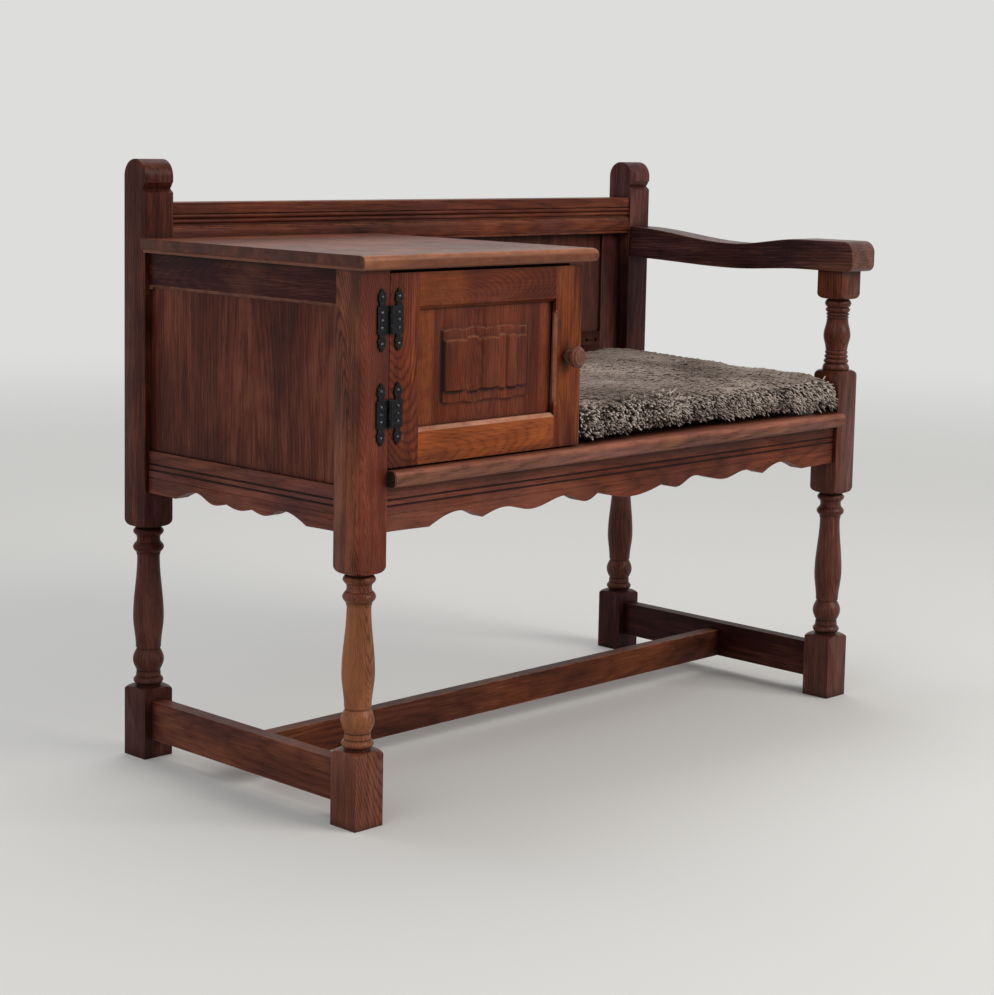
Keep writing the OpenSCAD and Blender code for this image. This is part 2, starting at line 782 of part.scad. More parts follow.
module door_low_rail() {
    color(door_oak) placed() difference() {
        door_low_rail_bar();
        door_panel_field();
        translate([door_rail_x0, 0, door_low + door_rail_h]) mirror([0, 0, 1])
            edge_chamfer(door_rail_x1 - door_rail_x0, rail_chamfer);
    }
}

// linenfold: broad and narrow folds over a shallower hem. Shares of the carving's width
// for the start and end of each fold, of the rise, and of the hem for its longer ends.
linen_fold_shares = [
    [0.00, 0.25, 1.00, 0.0], [0.26, 0.34, 0.80, 0.2], [0.355, 0.425, 1.15, 0.5],
    [0.44, 0.62, 1.00, 0.1], [0.645, 0.74, 0.85, 0.1], [0.75, 0.87, 1.15, 0.4],
    [0.88, 1.00, 0.85, 0.0]];
hem_shares = [[0.00, 0.12, 0.9], [0.12, 0.30, 1.0], [0.30, 0.37, 0.7], [0.37, 0.52, 1.0],
    [0.52, 0.60, 1.3], [0.60, 0.78, 1.0], [0.78, 0.86, 0.7], [0.86, 1.00, 1.0]];
hem_rise_share = 0.35;
fold_edge_share = 0.55;
fold_steps = 6;
linen_w = door_rail_x1 - door_rail_x0 - 2 * linen_side_margin;
linen_h = door_h - 2 * door_rail_h - 2 * linen_end_margin;
linen_x = (door_x0 + door_x1) / 2;
linen_z = (door_low + door_high) / 2;
module fold(width, rise, length) {
    linear_extrude(length) polygon(concat([[0, over]],
        [for (i = [0:fold_steps])
            let (u = i / fold_steps)
            [width * u, -rise * (fold_edge_share + (1 - fold_edge_share) * sin(180 * u))]],
        [[width, over]]));
}
module linenfold() {
    for (f = linen_fold_shares)
        translate([linen_x - linen_w / 2 + linen_w * f[0], door_panel_set,
            linen_z - linen_h / 2 - f[3] * linen_hem])
            fold(linen_w * (f[1] - f[0]), linen_rise * f[2], linen_h + 2 * f[3] * linen_hem);
    for (f = hem_shares)
        translate([linen_x - linen_w / 2 + linen_w * f[0],
            door_panel_set - linen_rise * hem_rise_share,
            linen_z - linen_h / 2 - f[2] * linen_hem])
            cube([linen_w * (f[1] - f[0]), linen_rise * hem_rise_share + over,
                linen_h + 2 * f[2] * linen_hem]);
}
module door_panel() {
    color(door_oak) placed() {
        door_panel_field();
        linenfold();
    }
}

// knob, turned about an axis through the middle of the lock stile
knob_x = door_x1 - door_stile_w / 2;
knob_z = (door_low + door_high) / 2;
// distance from the door and radius as shares of the knob's length and radius
knob_shares = [
    [0, 0.60], [0.09, 0.62], [0.14, 0.50], [0.22, 0.42], [0.34, 0.42], [0.44, 0.55],
    [0.52, 0.86], [0.60, 0.97], [0.68, 1.00], [0.76, 0.98], [0.84, 0.90], [0.86, 0.82],
    [0.92, 0.80], [0.96, 0.72], [0.97, 0.56], [0.93, 0.52], [0.97, 0.46], [1.00, 0.25]];
module knob_place() {
    translate([knob_x, door_t, knob_z]) rotate([90, 0, 0]) children();
}
knob_screw_l = door_t + knob_l * bite_share;
module door_knob() {
    color(door_oak) placed() difference() {
        knob_place() translate([0, 0, door_t]) rotate_extrude()
            polygon(concat([[0, 0]],
                [for (p = knob_shares) [knob_d / 2 * p[1], knob_l * p[0]]], [[0, knob_l]]));
        knob_place() screw_hole(knob_screw_l, screw_r, screw_head_r);
    }
}
module knob_screw() {
    color(steel) placed() knob_place() screw(knob_screw_l, screw_r, screw_head_r);
}

// H hinges: two leaves with lobed finials, knuckles between them and a pin
hinge_x = post + door_side_gap / 2;
hinge_stand = 0.4;
hinge_y = -knuckle_r - hinge_stand;
upper_hinge_z = door_high - hinge_top_drop;
lower_hinge_z = door_low + hinge_low_rise;
knuckle_gap = rest_gap;
knuckle_h = hinge_body_h / 3;
finial_h = (hinge_h - hinge_body_h) / 2;
strap_x = hinge_leaf_w - hinge_strap_w;
stud_h = 1.6;
stud_shank_r = 0.8;
stud_shank_l = 10;
// height of each stud over the hinge's middle as a share of half the hinge
stud_shares = [-0.74, -0.24, 0, 0.24, 0.74];
// neck of each finial: width as a share of the strap, length as a share of the finial
finial_neck_share = 0.62;
finial_neck_l_share = 0.45;
// lobes of each finial: sideways place and radius as shares of half the strap's width,
// height of the middle as a share of the finial
finial_lobe_shares = [
    [-0.42, 0.40, 0.50], [0.42, 0.40, 0.50], [-0.36, 0.64, 0.44], [0.36, 0.64, 0.44],
    [0, 0.52, 0.55], [0, 0.84, 0.40]];
// the leaf starts this share of the knuckle's radius away from the pin's axis
leaf_start_share = 0.5;

module hinge_places() {
    for (z = [upper_hinge_z, lower_hinge_z]) translate([hinge_x, 0, z]) children();
}
// outline of one leaf in its own frame: x away from the pin, y up
module leaf_outline() {
    lobe = hinge_strap_w / 2;
    leaf_x = knuckle_r * leaf_start_share;
    neck = lobe * finial_neck_share;
    translate([leaf_x, -hinge_body_h / 2]) square([hinge_leaf_w - leaf_x, hinge_body_h]);
    for (side = [-1, 1]) scale([1, side]) translate([strap_x + lobe, hinge_body_h / 2]) {
        translate([-neck, -over]) square([2 * neck, finial_h * finial_neck_l_share + over]);
        for (f = finial_lobe_shares)
            translate([lobe * f[0], finial_h * f[1]]) circle(r = lobe * f[2]);
    }
}
// leaf plate on the wood's face, side -1 for the post and 1 for the door
module leaf_plate(side) {
    scale([side, 1, 1]) rotate([90, 0, 0]) linear_extrude(hinge_t) leaf_outline();
}
module knuckle(z0, h) {
    translate([0, hinge_y, z0]) cylinder(r = knuckle_r, h = h);
}
module pin_bore() {
    translate([0, hinge_y, -hinge_body_h / 2 - over])
        cylinder(r = pin_r + shank_gap, h = hinge_body_h + 2 * over);
}
// room that a leaf leaves round the other leaf's knuckle
module knuckle_room(z0, h) {
    translate([-knuckle_r - 2 * knuckle_gap, hinge_y - knuckle_r - 2 * knuckle_gap,
        z0 - knuckle_gap])
        cube([2 * knuckle_r + 4 * knuckle_gap, 2 * knuckle_r + 4 * knuckle_gap,
            h + 2 * knuckle_gap]);
}
module stud_row(side) {
    for (s = stud_shares)
        translate([side * (strap_x + hinge_strap_w / 2), 0, s * hinge_h / 2]) children();
}
module post_stud_places() {
    stud_row(-1) children();
}
module door_stud_places() {
    stud_row(1) children();
}
module stud() {
    rotate([90, 0, 0]) {
        translate([0, 0, hinge_t]) intersection() {
            translate([0, 0, stud_h - stud_r]) sphere(r = stud_r);
            cylinder(r = stud_r, h = stud_h);
        }
        translate([0, 0, -stud_shank_l]) cylinder(r = stud_shank_r, h = stud_shank_l + hinge_t);
    }
}
module stud_hole() {
    rotate([90, 0, 0]) translate([0, 0, -stud_shank_l - shank_gap])
        cylinder(r = stud_shank_r + shank_gap, h = stud_shank_l + hinge_t + over);
}
module post_leaf() {
    difference() {
        union() {
            leaf_plate(-1);
            knuckle(-hinge_body_h / 2, knuckle_h);
            knuckle(hinge_body_h / 2 - knuckle_h, knuckle_h);
        }
        knuckle_room(-knuckle_h / 2, knuckle_h);
        pin_bore();
        post_stud_places() stud_hole();
    }
}
module door_leaf() {
    difference() {
        union() {
            difference() {
                leaf_plate(1);
                knuckle_room(-hinge_body_h / 2 - over, knuckle_h + over);
                knuckle_room(hinge_body_h / 2 - knuckle_h, knuckle_h + over);
            }
            knuckle(-knuckle_h / 2, knuckle_h);
        }
        pin_bore();
        door_stud_places() stud_hole();
    }
}
module upper_hinge_post_leaf() {
    color(iron) placed() translate([hinge_x, 0, upper_hinge_z]) post_leaf();
}
module upper_hinge_door_leaf() {
    color(iron) placed() translate([hinge_x, 0, upper_hinge_z]) door_leaf();
}
module lower_hinge_post_leaf() {
    color(iron) placed() translate([hinge_x, 0, lower_hinge_z]) post_leaf();
}
module lower_hinge_door_leaf() {
    color(iron) placed() translate([hinge_x, 0, lower_hinge_z]) door_leaf();
}
module hinge_pins() {
    color(steel) placed() hinge_places()
        translate([0, hinge_y, -hinge_body_h / 2]) cylinder(r = pin_r, h = hinge_body_h);
}
module post_hinge_studs() {
    color(iron) placed() hinge_places() post_stud_places() stud();
}
module door_hinge_studs() {
    color(iron) placed() hinge_places() door_stud_places() stud();
}

// magnetic catch under the front rail, with a strike on the door
catch_w = 40;
catch_h = 14;
catch_d = 14;
catch_inset = 30;
catch_x = side_x0 - catch_inset - catch_w;
catch_z = top_low - front_rail_h - catch_h;
catch_screw_r = 1.5;
catch_screw_head_r = 3;
catch_screw_l = catch_h + front_rail_h * bite_share;
catch_screw_share = 0.3;
strike_w = 34;
strike_h = 12;
strike_t = door_back_gap - rest_gap;
strike_screw_r = 1.2;
strike_screw_head_r = 2.2;
strike_screw_l = 12;
module catch_screw_places() {
    for (s = [-1, 1])
        translate([catch_x + catch_w / 2 + s * catch_w * catch_screw_share,
            side_y0 + catch_d / 2, catch_z]) children();
}
module strike_screw_places() {
    for (s = [-1, 1])
        translate([catch_x + catch_w / 2 + s * strike_w * catch_screw_share,
            door_t + strike_t, catch_z + catch_h / 2]) rotate([90, 0, 0]) children();
}
module magnetic_catch() {
    color("#d8d4cb") placed() difference() {
        translate([catch_x, side_y0, catch_z]) cube([catch_w, catch_d, catch_h]);
        catch_screw_places() screw_hole(catch_screw_l, catch_screw_r, catch_screw_head_r);
    }
}
module catch_screws() {
    color(steel) placed() catch_screw_places()
        screw(catch_screw_l, catch_screw_r, catch_screw_head_r);
}
module catch_strike() {
    color(steel) placed() difference() {
        translate([catch_x + (catch_w - strike_w) / 2, door_t,
            catch_z + (catch_h - strike_h) / 2]) cube([strike_w, strike_t, strike_h]);
        strike_screw_places() screw_hole(strike_screw_l, strike_screw_r, strike_screw_head_r);
    }
}
module strike_screws() {
    color(steel) placed() strike_screw_places()
        screw(strike_screw_l, strike_screw_r, strike_screw_head_r);
}

// back: a moulded top rail over two stiles, a lower rail and a panel
// moulding on the rail's face: level below the top and radius as shares of the rail's height
reed_shares = [[0.325, 0.055], [0.445, 0.055]];
reed_top_share = 0.255;
band_top_share = 0.56;
band_r_share = 0.13;
band_rise = 2;
reed_recess = 2.5;
module back_top_rail_tenons() {
    tenon_pair_x(post, right_x, back_rail_y, back_rail_low, back_rail_t, back_rail_h,
        tenon_l, grooved_shoulder);
}
module back_rail_section() {
    reed_low = back_rail_h * (1 - band_top_share);
    reed_high = back_rail_h * (1 - reed_top_share);
    band_r = back_rail_h * band_r_share;
    difference() {
        square([back_rail_t, back_rail_h]);
        translate([-over, reed_low]) square([reed_recess + over, reed_high - reed_low]);
    }
    for (r = reed_shares)
        translate([reed_recess, back_rail_h * (1 - r[0])]) circle(r = back_rail_h * r[1]);
    translate([-band_rise, band_r]) square([band_rise + over, reed_low - 2 * band_r]);
    for (z = [band_r, reed_low - band_r])
        translate([band_r - band_rise, z]) circle(r = band_r);
}
module back_top_rail() {
    color(frame_oak) placed() difference() {
        union() {
            translate([post, back_rail_y, back_rail_low]) rotate([90, 0, 90])
                linear_extrude(right_x - post) back_rail_section();
            back_top_rail_tenons();
        }
        back_panel_board();
    }
}
back_stile_x1 = right_x - back_stile_w;
frame_panel_set = 4;
frame_panel_t = 8;
frame_tenon_l = 12;
module back_low_rail_bar() {
    rail_x(post + back_stile_w, back_stile_x1, frame_y, seat_low, back_frame_t,
        back_low_top - seat_low, frame_tenon_l, grooved_shoulder);
}
module back_panel_board() {
    translate([post + back_stile_w - panel_groove, frame_y + frame_panel_set,
        back_low_top - panel_groove])
        cube([back_stile_x1 - post - back_stile_w + 2 * panel_groove, frame_panel_t,
            back_rail_low - back_low_top + 2 * panel_groove]);
}
module back_stile(x0) {
    difference() {
        translate([x0, frame_y, seat_low]) cube([back_stile_w, back_frame_t,
            back_rail_low - seat_low]);
        back_low_rail_bar();
        back_panel_board();
    }
}
module back_left_stile() {
    color(dark_oak) placed() back_stile(post);
}
module back_right_stile() {
    color(dark_oak) placed() back_stile(back_stile_x1);
}
// two small screw holes that a fitting left in the lower rail
fitting_hole_r = 2.4;
fitting_hole_d = 8;
fitting_hole_pitch = 21;
fitting_hole_inset = 61;
fitting_hole_drop = 13;
module back_low_rail() {
    color(dark_oak) placed() difference() {
        back_low_rail_bar();
        back_panel_board();
        for (s = [-1, 1])
            translate([right_x - fitting_hole_inset + s * fitting_hole_pitch / 2,
                frame_y + fitting_hole_d, back_low_top - fitting_hole_drop])
                rotate([90, 0, 0]) cylinder(r = fitting_hole_r, h = fitting_hole_d + over);
    }
}
module back_panel() {
    color(dark_oak) placed() back_panel_board();
}

// arm: side outline cut by the plan outline, with a tenon into the back post
arm_axis_x = bench_w - half;
arm_back_lift = 4;
arm_back_top = arm_h + arm_back_lift;
arm_dip = 12.5;
arm_belly = 6;
// distance behind the front posts' faces as a share of the way to the back post
arm_dip_share = 0.5;
arm_flat_share = 0.17;
arm_steps = 10;
arm_nose_r = 17;
arm_chin_r = 11;
arm_tenon_w = 22;
arm_tenon_h = 26;
arm_tenon_l = 15;
function arc_points(cx, cz, r, a0, a1) = [
    for (i = [0:bead_steps])
        let (a = a0 + (a1 - a0) * i / bead_steps) [cx + r * cos(a), cz + r * sin(a)]];
function eased(y0, z0, y1, z1) = [
    for (i = [1:arm_steps])
        let (u = i / arm_steps) [y0 + (y1 - y0) * u, blend_to(z0, z1, u)]];
arm_side = concat(
    arc_points(-arm_over + arm_chin_r, arm_low + arm_chin_r, arm_chin_r, 270, 180),
    arc_points(-arm_over + arm_nose_r, arm_h - arm_nose_r, arm_nose_r, 180, 90),
    eased(back_y * arm_flat_share, arm_h, back_y * arm_dip_share, arm_h - arm_dip),
    eased(back_y * arm_dip_share, arm_h - arm_dip, back_y, arm_back_top),
    [[back_y, arm_low]],
    eased(back_y, arm_low, back_y * arm_dip_share, arm_low - arm_belly),
    eased(back_y * arm_dip_share, arm_low - arm_belly, back_y * arm_flat_share, arm_low));
module arm_tenon() {
    translate([arm_axis_x - arm_tenon_w / 2, back_y - tenon_root,
        (arm_low + arm_back_top - arm_tenon_h) / 2])
        cube([arm_tenon_w, arm_tenon_l + tenon_root, arm_tenon_h]);
}
module arm_rest() {
    color(frame_oak) placed() difference() {
        union() {
            intersection() {
                translate([arm_axis_x - arm_front_w / 2, 0, 0]) rotate([90, 0, 90])
                    linear_extrude(arm_front_w) polygon(arm_side);
                translate([arm_axis_x, 0, arm_low - arm_belly - over])
                    linear_extrude(arm_back_top - arm_low + arm_belly + 2 * over)
                    polygon([[-arm_front_w / 2, -arm_over - over],
                        [arm_front_w / 2, -arm_over - over], [arm_front_w / 2, post],
                        [arm_back_w / 2, back_y], [-arm_back_w / 2, back_y],
                        [-arm_front_w / 2, post]]);
            }
            arm_tenon();
        }
        translate([arm_axis_x, half, arm_low - over])
            cylinder(r = dowel_r + shank_gap, h = dowel_l + shank_gap + over);
    }
}

// posts, with the mortises and grooves of what enters them
// height of the notch's sloped part, as a share of the notch
notch_slope_share = 0.45;
module back_post_head(x) {
    translate([x, back_y, 0]) {
        difference() {
            cube([post, post, back_h - half]);
            translate([-over, 0, back_h - notch_drop]) rotate([90, 0, 90])
                linear_extrude(post + 2 * over) polygon([[-over, 0], [notch_d, 0],
                    [notch_d, -notch_h * (1 - notch_slope_share)],
                    [-over, -notch_h * (1 + over / notch_d * notch_slope_share)]]);
        }
        translate([0, half, back_h - half]) rotate([0, 90, 0]) cylinder(r = half, h = post);
    }
}
module back_post(x) {
    intersection() {
        translate([x, back_y, 0]) turned_post(leg_outline, back_h + over);
        back_post_head(x);
    }
}
module front_left_post() {
    color(frame_oak) placed() difference() {
        turned_post(leg_outline, top_low);
        left_stretcher_bar();
        front_apron_tenons();
        left_apron_tenons();
        left_top_rail_tenons();
        left_panel_board();
        front_rail_bar();
        hinge_places() post_stud_places() stud_hole();
    }
}
module front_right_post() {
    color(frame_oak) placed() {
        difference() {
            translate([right_x, 0, 0])
                turned_post(concat(leg_outline, support_outline), arm_low);
            right_stretcher_bar();
            front_apron_tenons();
            right_apron_tenons();
        }
        translate([arm_axis_x, half, arm_low]) cylinder(r = dowel_r, h = dowel_l);
    }
}
module back_left_post() {
    color(dark_oak) placed() difference() {
        back_post(0);
        left_stretcher_bar();
        left_apron_tenons();
        left_top_rail_tenons();
        left_panel_board();
        back_seat_rail_bar();
        back_top_rail_tenons();
    }
}
module back_right_post() {
    color(dark_oak) placed() difference() {
        back_post(right_x);
        right_stretcher_bar();
        right_apron_tenons();
        back_seat_rail_bar();
        back_top_rail_tenons();
        arm_tenon();
    }
}

// seat pad: a crowned cushion whose rounded sides draw in between the corners
pad_x0 = cupboard_w + pad_side_gap;
pad_x1 = right_x - pad_post_gap;
pad_y0 = 1;
pad_y1 = frame_y - pad_side_gap;
pad_corner_r = 22;
pad_corner_steps = 4;
pad_edge_steps = 7;
pad_low = seat_h + rest_gap;
pad_mid = [(pad_x0 + pad_x1) / 2, (pad_y0 + pad_y1) / 2];
// inward step and height of each ring round the sides, as shares of the pad's thickness
pad_side_shares = [[0.26, 0], [0.08, 0.10], [0, 0.30], [0, 0.52], [0.06, 0.74], [0.22, 0.90],
    [0.50, 0.98]];
// remaining reach and height of each ring on top, as shares of the last ring and the crown
pad_top_shares = [[0.86, 0.25], [0.68, 0.55], [0.42, 0.85]];
pad_corners = [[pad_x0, pad_y0, 180], [pad_x1, pad_y0, 270], [pad_x1, pad_y1, 0],
    [pad_x0, pad_y1, 90]];
function pad_arc(c) =
    let (sx = (c[2] == 180 || c[2] == 90) ? 1 : -1,
         sy = (c[2] == 180 || c[2] == 270) ? 1 : -1)
    [for (i = [0:pad_corner_steps])
        let (a = c[2] + 90 * i / pad_corner_steps)
        [c[0] + pad_corner_r * (sx + cos(a)), c[1] + pad_corner_r * (sy + sin(a))]];
// points between two corners, drawn in towards the middle
function pad_edge(a, b, n) = [
    for (i = [1:pad_edge_steps - 1])
        let (u = i / pad_edge_steps) a + (b - a) * u + n * pad_draw * sin(180 * u)];
pad_arcs = [for (c = pad_corners) pad_arc(c)];
pad_inward = [[0, 1], [-1, 0], [0, -1], [1, 0]];
pad_outline = [for (k = [0:3]) each
    concat(pad_arcs[k], pad_edge(last(pad_arcs[k]), pad_arcs[(k + 1) % 4][0], pad_inward[k]))];
function step_in(p, d) = p - (p - pad_mid) / norm(p - pad_mid) * d;
pad_n = len(pad_outline);
pad_rings = concat(
    [for (s = pad_side_shares)
        [for (p = pad_outline)
            let (q = step_in(p, s[0] * pad_h)) [q[0], q[1], pad_low + s[1] * pad_h]]],
    [for (s = pad_top_shares)
        [for (p = pad_outline)
            let (q = pad_mid + (step_in(p, last(pad_side_shares)[0] * pad_h) - pad_mid) * s[0])
            [q[0], q[1], pad_low + pad_h + s[1] * pad_crown]]]);
module seat_pad() {
    ends = [[pad_mid[0], pad_mid[1], pad_low],
        [pad_mid[0], pad_mid[1], pad_low + pad_h + pad_crown]];
    points = concat([for (ring = pad_rings) each ring], ends);
    bottom = pad_n * len(pad_rings);
    top_ring = bottom - pad_n;
    faces = concat(
        [for (k = [0:len(pad_rings) - 2]) for (i = [0:pad_n - 1])
            let (a = k * pad_n + i, b = k * pad_n + (i + 1) % pad_n)
            each [[a, a + pad_n, b], [b, a + pad_n, b + pad_n]]],
        [for (i = [0:pad_n - 1]) [bottom, i, (i + 1) % pad_n]],
        [for (i = [0:pad_n - 1]) [bottom + 1, top_ring + (i + 1) % pad_n, top_ring + i]]);
    color(wool) placed() polyhedron(points, faces);
}

front_left_post();
front_right_post();
back_left_post();
back_right_post();
left_stretcher();
right_stretcher();
centre_stretcher();
front_apron();
left_apron();
right_apron();
back_seat_rail();
seat_board();
seat_glue_blocks();
seat_screws();
cupboard_left_top_rail();
cupboard_left_panel();
cupboard_right_front_stile();
cupboard_right_back_stile();
cupboard_right_low_rail();
cupboard_right_top_rail();
cupboard_right_panel();
cupboard_front_rail();
cupboard_top();
top_cleats();
top_screws();
door_hinge_stile();
door_lock_stile();
door_top_rail();
door_low_rail();
door_panel();
door_knob();
knob_screw();
upper_hinge_post_leaf();
upper_hinge_door_leaf();
lower_hinge_post_leaf();
lower_hinge_door_leaf();
hinge_pins();
post_hinge_studs();
door_hinge_studs();
magnetic_catch();
catch_screws();
catch_strike();
strike_screws();
back_top_rail();
back_left_stile();
back_right_stile();
back_low_rail();
back_panel();
arm_rest();
seat_pad();
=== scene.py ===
# Looks of the telephone bench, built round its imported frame. Lengths are in metres.
import math
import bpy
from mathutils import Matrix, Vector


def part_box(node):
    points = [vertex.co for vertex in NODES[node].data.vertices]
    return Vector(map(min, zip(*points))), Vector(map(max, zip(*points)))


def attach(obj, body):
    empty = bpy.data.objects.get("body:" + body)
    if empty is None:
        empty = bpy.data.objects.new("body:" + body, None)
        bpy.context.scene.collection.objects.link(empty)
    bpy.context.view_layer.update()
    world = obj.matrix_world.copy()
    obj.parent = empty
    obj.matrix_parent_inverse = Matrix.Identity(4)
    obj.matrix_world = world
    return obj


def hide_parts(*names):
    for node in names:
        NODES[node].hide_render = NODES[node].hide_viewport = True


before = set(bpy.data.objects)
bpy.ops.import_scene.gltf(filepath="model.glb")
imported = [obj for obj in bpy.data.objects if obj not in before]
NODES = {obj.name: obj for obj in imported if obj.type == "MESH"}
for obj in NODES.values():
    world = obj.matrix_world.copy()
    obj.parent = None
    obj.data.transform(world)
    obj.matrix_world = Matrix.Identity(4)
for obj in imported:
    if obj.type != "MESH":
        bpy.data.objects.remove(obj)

from types import SimpleNamespace

import bpy
import numpy as np
from mathutils import Matrix, Vector, noise

MM = 0.001
QUARTER = math.pi / 2
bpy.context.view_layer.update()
SCENE = bpy.context.scene

# Camera, worked out from the photograph. Its angles are azimuth, pitch and roll.
PHOTO_SIZE_PX, PHOTO_CENTRE_PX = (994, 995), (497, 400)
FOCAL_PX = 2207.4
CAMERA_AT = (-2.2048, -2.1022, 0.8285)
CAMERA_DEG = (45.80, 6.89, 1.14)
SENSOR_MM = 36
CLIP_END = 60


def put(made, **settings):
    """Gives a new thing these settings."""
    for key, value in settings.items():
        setattr(made, key, value)
    return made


def added(name, data):
    """A new object in the scene."""
    made = bpy.data.objects.new(name, data)
    SCENE.collection.objects.link(made)
    return made


def make_camera():
    """The photograph's camera. Its axis meets the picture above the middle, hence the shift."""
    azimuth, pitch, roll = map(math.radians, CAMERA_DEG)
    (width, height), (middle_x, middle_y) = PHOTO_SIZE_PX, PHOTO_CENTRE_PX
    long_side = max(width, height)
    data = put(
        bpy.data.cameras.new("camera"), sensor_width=SENSOR_MM, clip_end=CLIP_END,
        lens=FOCAL_PX / long_side * SENSOR_MM, shift_x=(width / 2 - middle_x) / long_side,
        shift_y=(middle_y - height / 2) / long_side,
    )
    camera = added("camera", data)
    camera.matrix_world = Matrix.Translation(CAMERA_AT) @ Matrix.Rotation(-azimuth, 4, "Z") \
        @ Matrix.Rotation(QUARTER - pitch, 4, "X") @ Matrix.Rotation(roll, 4, "Z")
    SCENE.camera = camera


def srgb(*colour):
    """A colour as the eye reads it, 0 to 255, made the linear colour that a shader takes."""
    shares = (c / 255 for c in colour)
    return (*(c / 12.92 if c <= 0.04045 else ((c + 0.055) / 1.055) ** 2.4 for c in shares), 1)


def scaled(colour, factor, warmth=0.0):
    """A linear colour made lighter or darker, and warmer as warmth rises."""
    r, g, b, _ = colour
    return (r * factor * (1 + warmth), g * factor, b * factor * (1 - warmth), 1)


def blended(a, b, share):
    return tuple(x + (y - x) * share for x, y in zip(a, b))


class Nodes:
    """A node tree, built by short calls."""

    def __init__(self, tree):
        self.tree = tree
        tree.nodes.clear()

    def set(self, node, socket, value):
        target = node.inputs[socket]
        if isinstance(value, bpy.types.NodeSocket):
            self.tree.links.new(value, target)
        else:
            target.default_value = value

    def node(self, kind, inputs=None, **settings):
        made = put(self.tree.nodes.new("ShaderNode" + kind), **settings)
        for socket, value in (inputs or {}).items():
            self.set(made, socket, value)
        return made

    def coordinates(self):
        return self.node("TexCoord").outputs["Object"]

    def mapped(self, vector, scale=(1, 1, 1), shift=(0, 0, 0), turn=(0, 0, 0)):
        inputs = {"Vector": vector, "Scale": scale, "Location": shift, "Rotation": turn}
        return self.node("Mapping", inputs).outputs[0]

    def vector(self, operation, a, b=(0, 0, 0), output="Vector"):
        return self.node("VectorMath", {0: a, 1: b}, operation=operation).outputs[output]

    def noise(self, vector, scale, detail=3, roughness=0.5, distortion=0.0, output="Fac"):
        inputs = {"Vector": vector, "Scale": scale, "Detail": detail, "Roughness": roughness,
                  "Distortion": distortion}
        return self.node("TexNoise", inputs).outputs[output]

    def ramp(self, factor, stops):
        made = self.node("ValToRGB", {"Fac": factor})
        band = made.color_ramp
        while len(band.elements) < len(stops):
            band.elements.new(0.5)
        for element, (place, colour) in zip(band.elements, stops):
            element.position = place
            element.color = colour
        return made.outputs["Color"]

    def levels(self, factor, low, high, to_low=0.0, to_high=1.0, curve="LINEAR"):
        inputs = {0: factor, 1: low, 2: high, 3: to_low, 4: to_high}
        return self.node("MapRange", inputs, clamp=True, interpolation_type=curve).outputs[0]

    def math(self, operation, a, b=0.0):
        return self.node("Math", {0: a, 1: b}, operation=operation).outputs[0]

    def times(self, a, b):
        return self.math("MULTIPLY", a, b)

    def sum(self, *terms):
        """Sum of (value, weight) pairs."""
        total = None
        for value, weight in terms:
            part = self.times(value, weight)
            total = part if total is None else self.math("ADD", total, part)
        return total

    def mix(self, factor, a, b, blend="MIX"):
        inputs = {0: factor, 6: a, 7: b}
        return self.node("Mix", inputs, data_type="RGBA", blend_type=blend).outputs[2]

    def bump(self, height, strength, distance):
        inputs = {"Height": height, "Strength": strength, "Distance": distance}
        return self.node("Bump", inputs).outputs[0]

    def window(self, value, rise, fall):
        """0 up to rise, 1 from its end to the start of fall, and 0 again after it."""
        return self.times(self.levels(value, *rise), self.levels(value, *fall, 1, 0))

    def attribute(self, name):
        return self.node("Attribute", attribute_name=name).outputs["Fac"]


class Shader(Nodes):
    """A material with one principled surface."""

    def __init__(self, name):
        self.material = bpy.data.materials.new(name)
        self.material.use_nodes = True
        super().__init__(self.material.node_tree)
        self.surface = self.node("BsdfPrincipled")
        self.output = self.node("OutputMaterial", {"Surface": self.surface.outputs[0]})

    def principled(self, **inputs):
        for socket, value in inputs.items():
            self.set(self.surface, socket.replace("_", " "), value)


# Oak. A piece's lie is the axis of its grain and then that of its broad face. The grain runs
# along z once its coordinates are turned by these angles.
GRAIN_TURNS = {"x": (0, QUARTER, 0), "y": (QUARTER, 0, 0), "z": (0, 0, 0)}
# The lies whose broad face then looks along y, where that of the others looks along x
FACE_ALONG_Y = ("zy", "xy", "yz")
# Pale oak where edges wear, also the painted highlight on the carving's upper fold ends
WEAR_AND_HIGHLIGHT = srgb(176, 112, 72)
# Streaks where the stain is thin lean to this colour, by this share
FADED, FADED_SHARE = srgb(160, 112, 86), 0.15
# Painted highlight of a chamfer that faces up
CHAMFER_HIGHLIGHT = (186, 134, 110)
# Painted shade of corners, grooves and the carving's undersides, with some grime
SHADE_AND_GRIME = srgb(15, 8, 7)
# What multiplies the stain where it took plainly, more redly, and where it wore to orange
EVEN = (1, 1, 1, 1)
MAROON = (0.78, 0.70, 0.84, 1)
EMBER = (1.28, 1.10, 0.80, 1)
# Noises of the wood: features in a metre, how short they are along the grain, detail, roughness
WOOD_NOISES = {
    "sway": (11, 0.3, 3, 0.5), "ripple": (210, 0.12, 3, 0.6), "fibre": (480, 0.03, 5, 0.68),
    "streak": (85, 0.07, 3, 0.62), "cloud": (8.5, 0.45, 4, 0.62), "pore": (1150, 0.05, 1, 0.5),
    "blush": (11, 0.6, 3, 0.5), "rub": (42, 1, 5, 0.72), "haze": (24, 1, 3, 0.5),
}
# How far each unit of a piece's seed moves it through the noises
SEED_STEP = (0.71, 0.53, 1.37)
BLUSH_STEP = (3.1, 0, 0)
# Growth rings: how far the tree's heart lies to one side, how far they sway, how much of that
# the fibres follow, and how many rings their edges ripple by
HEART_SIDE, SWAY, FOLLOW, RIPPLE = 8 * MM, 13 * MM, 0.6, 0.9
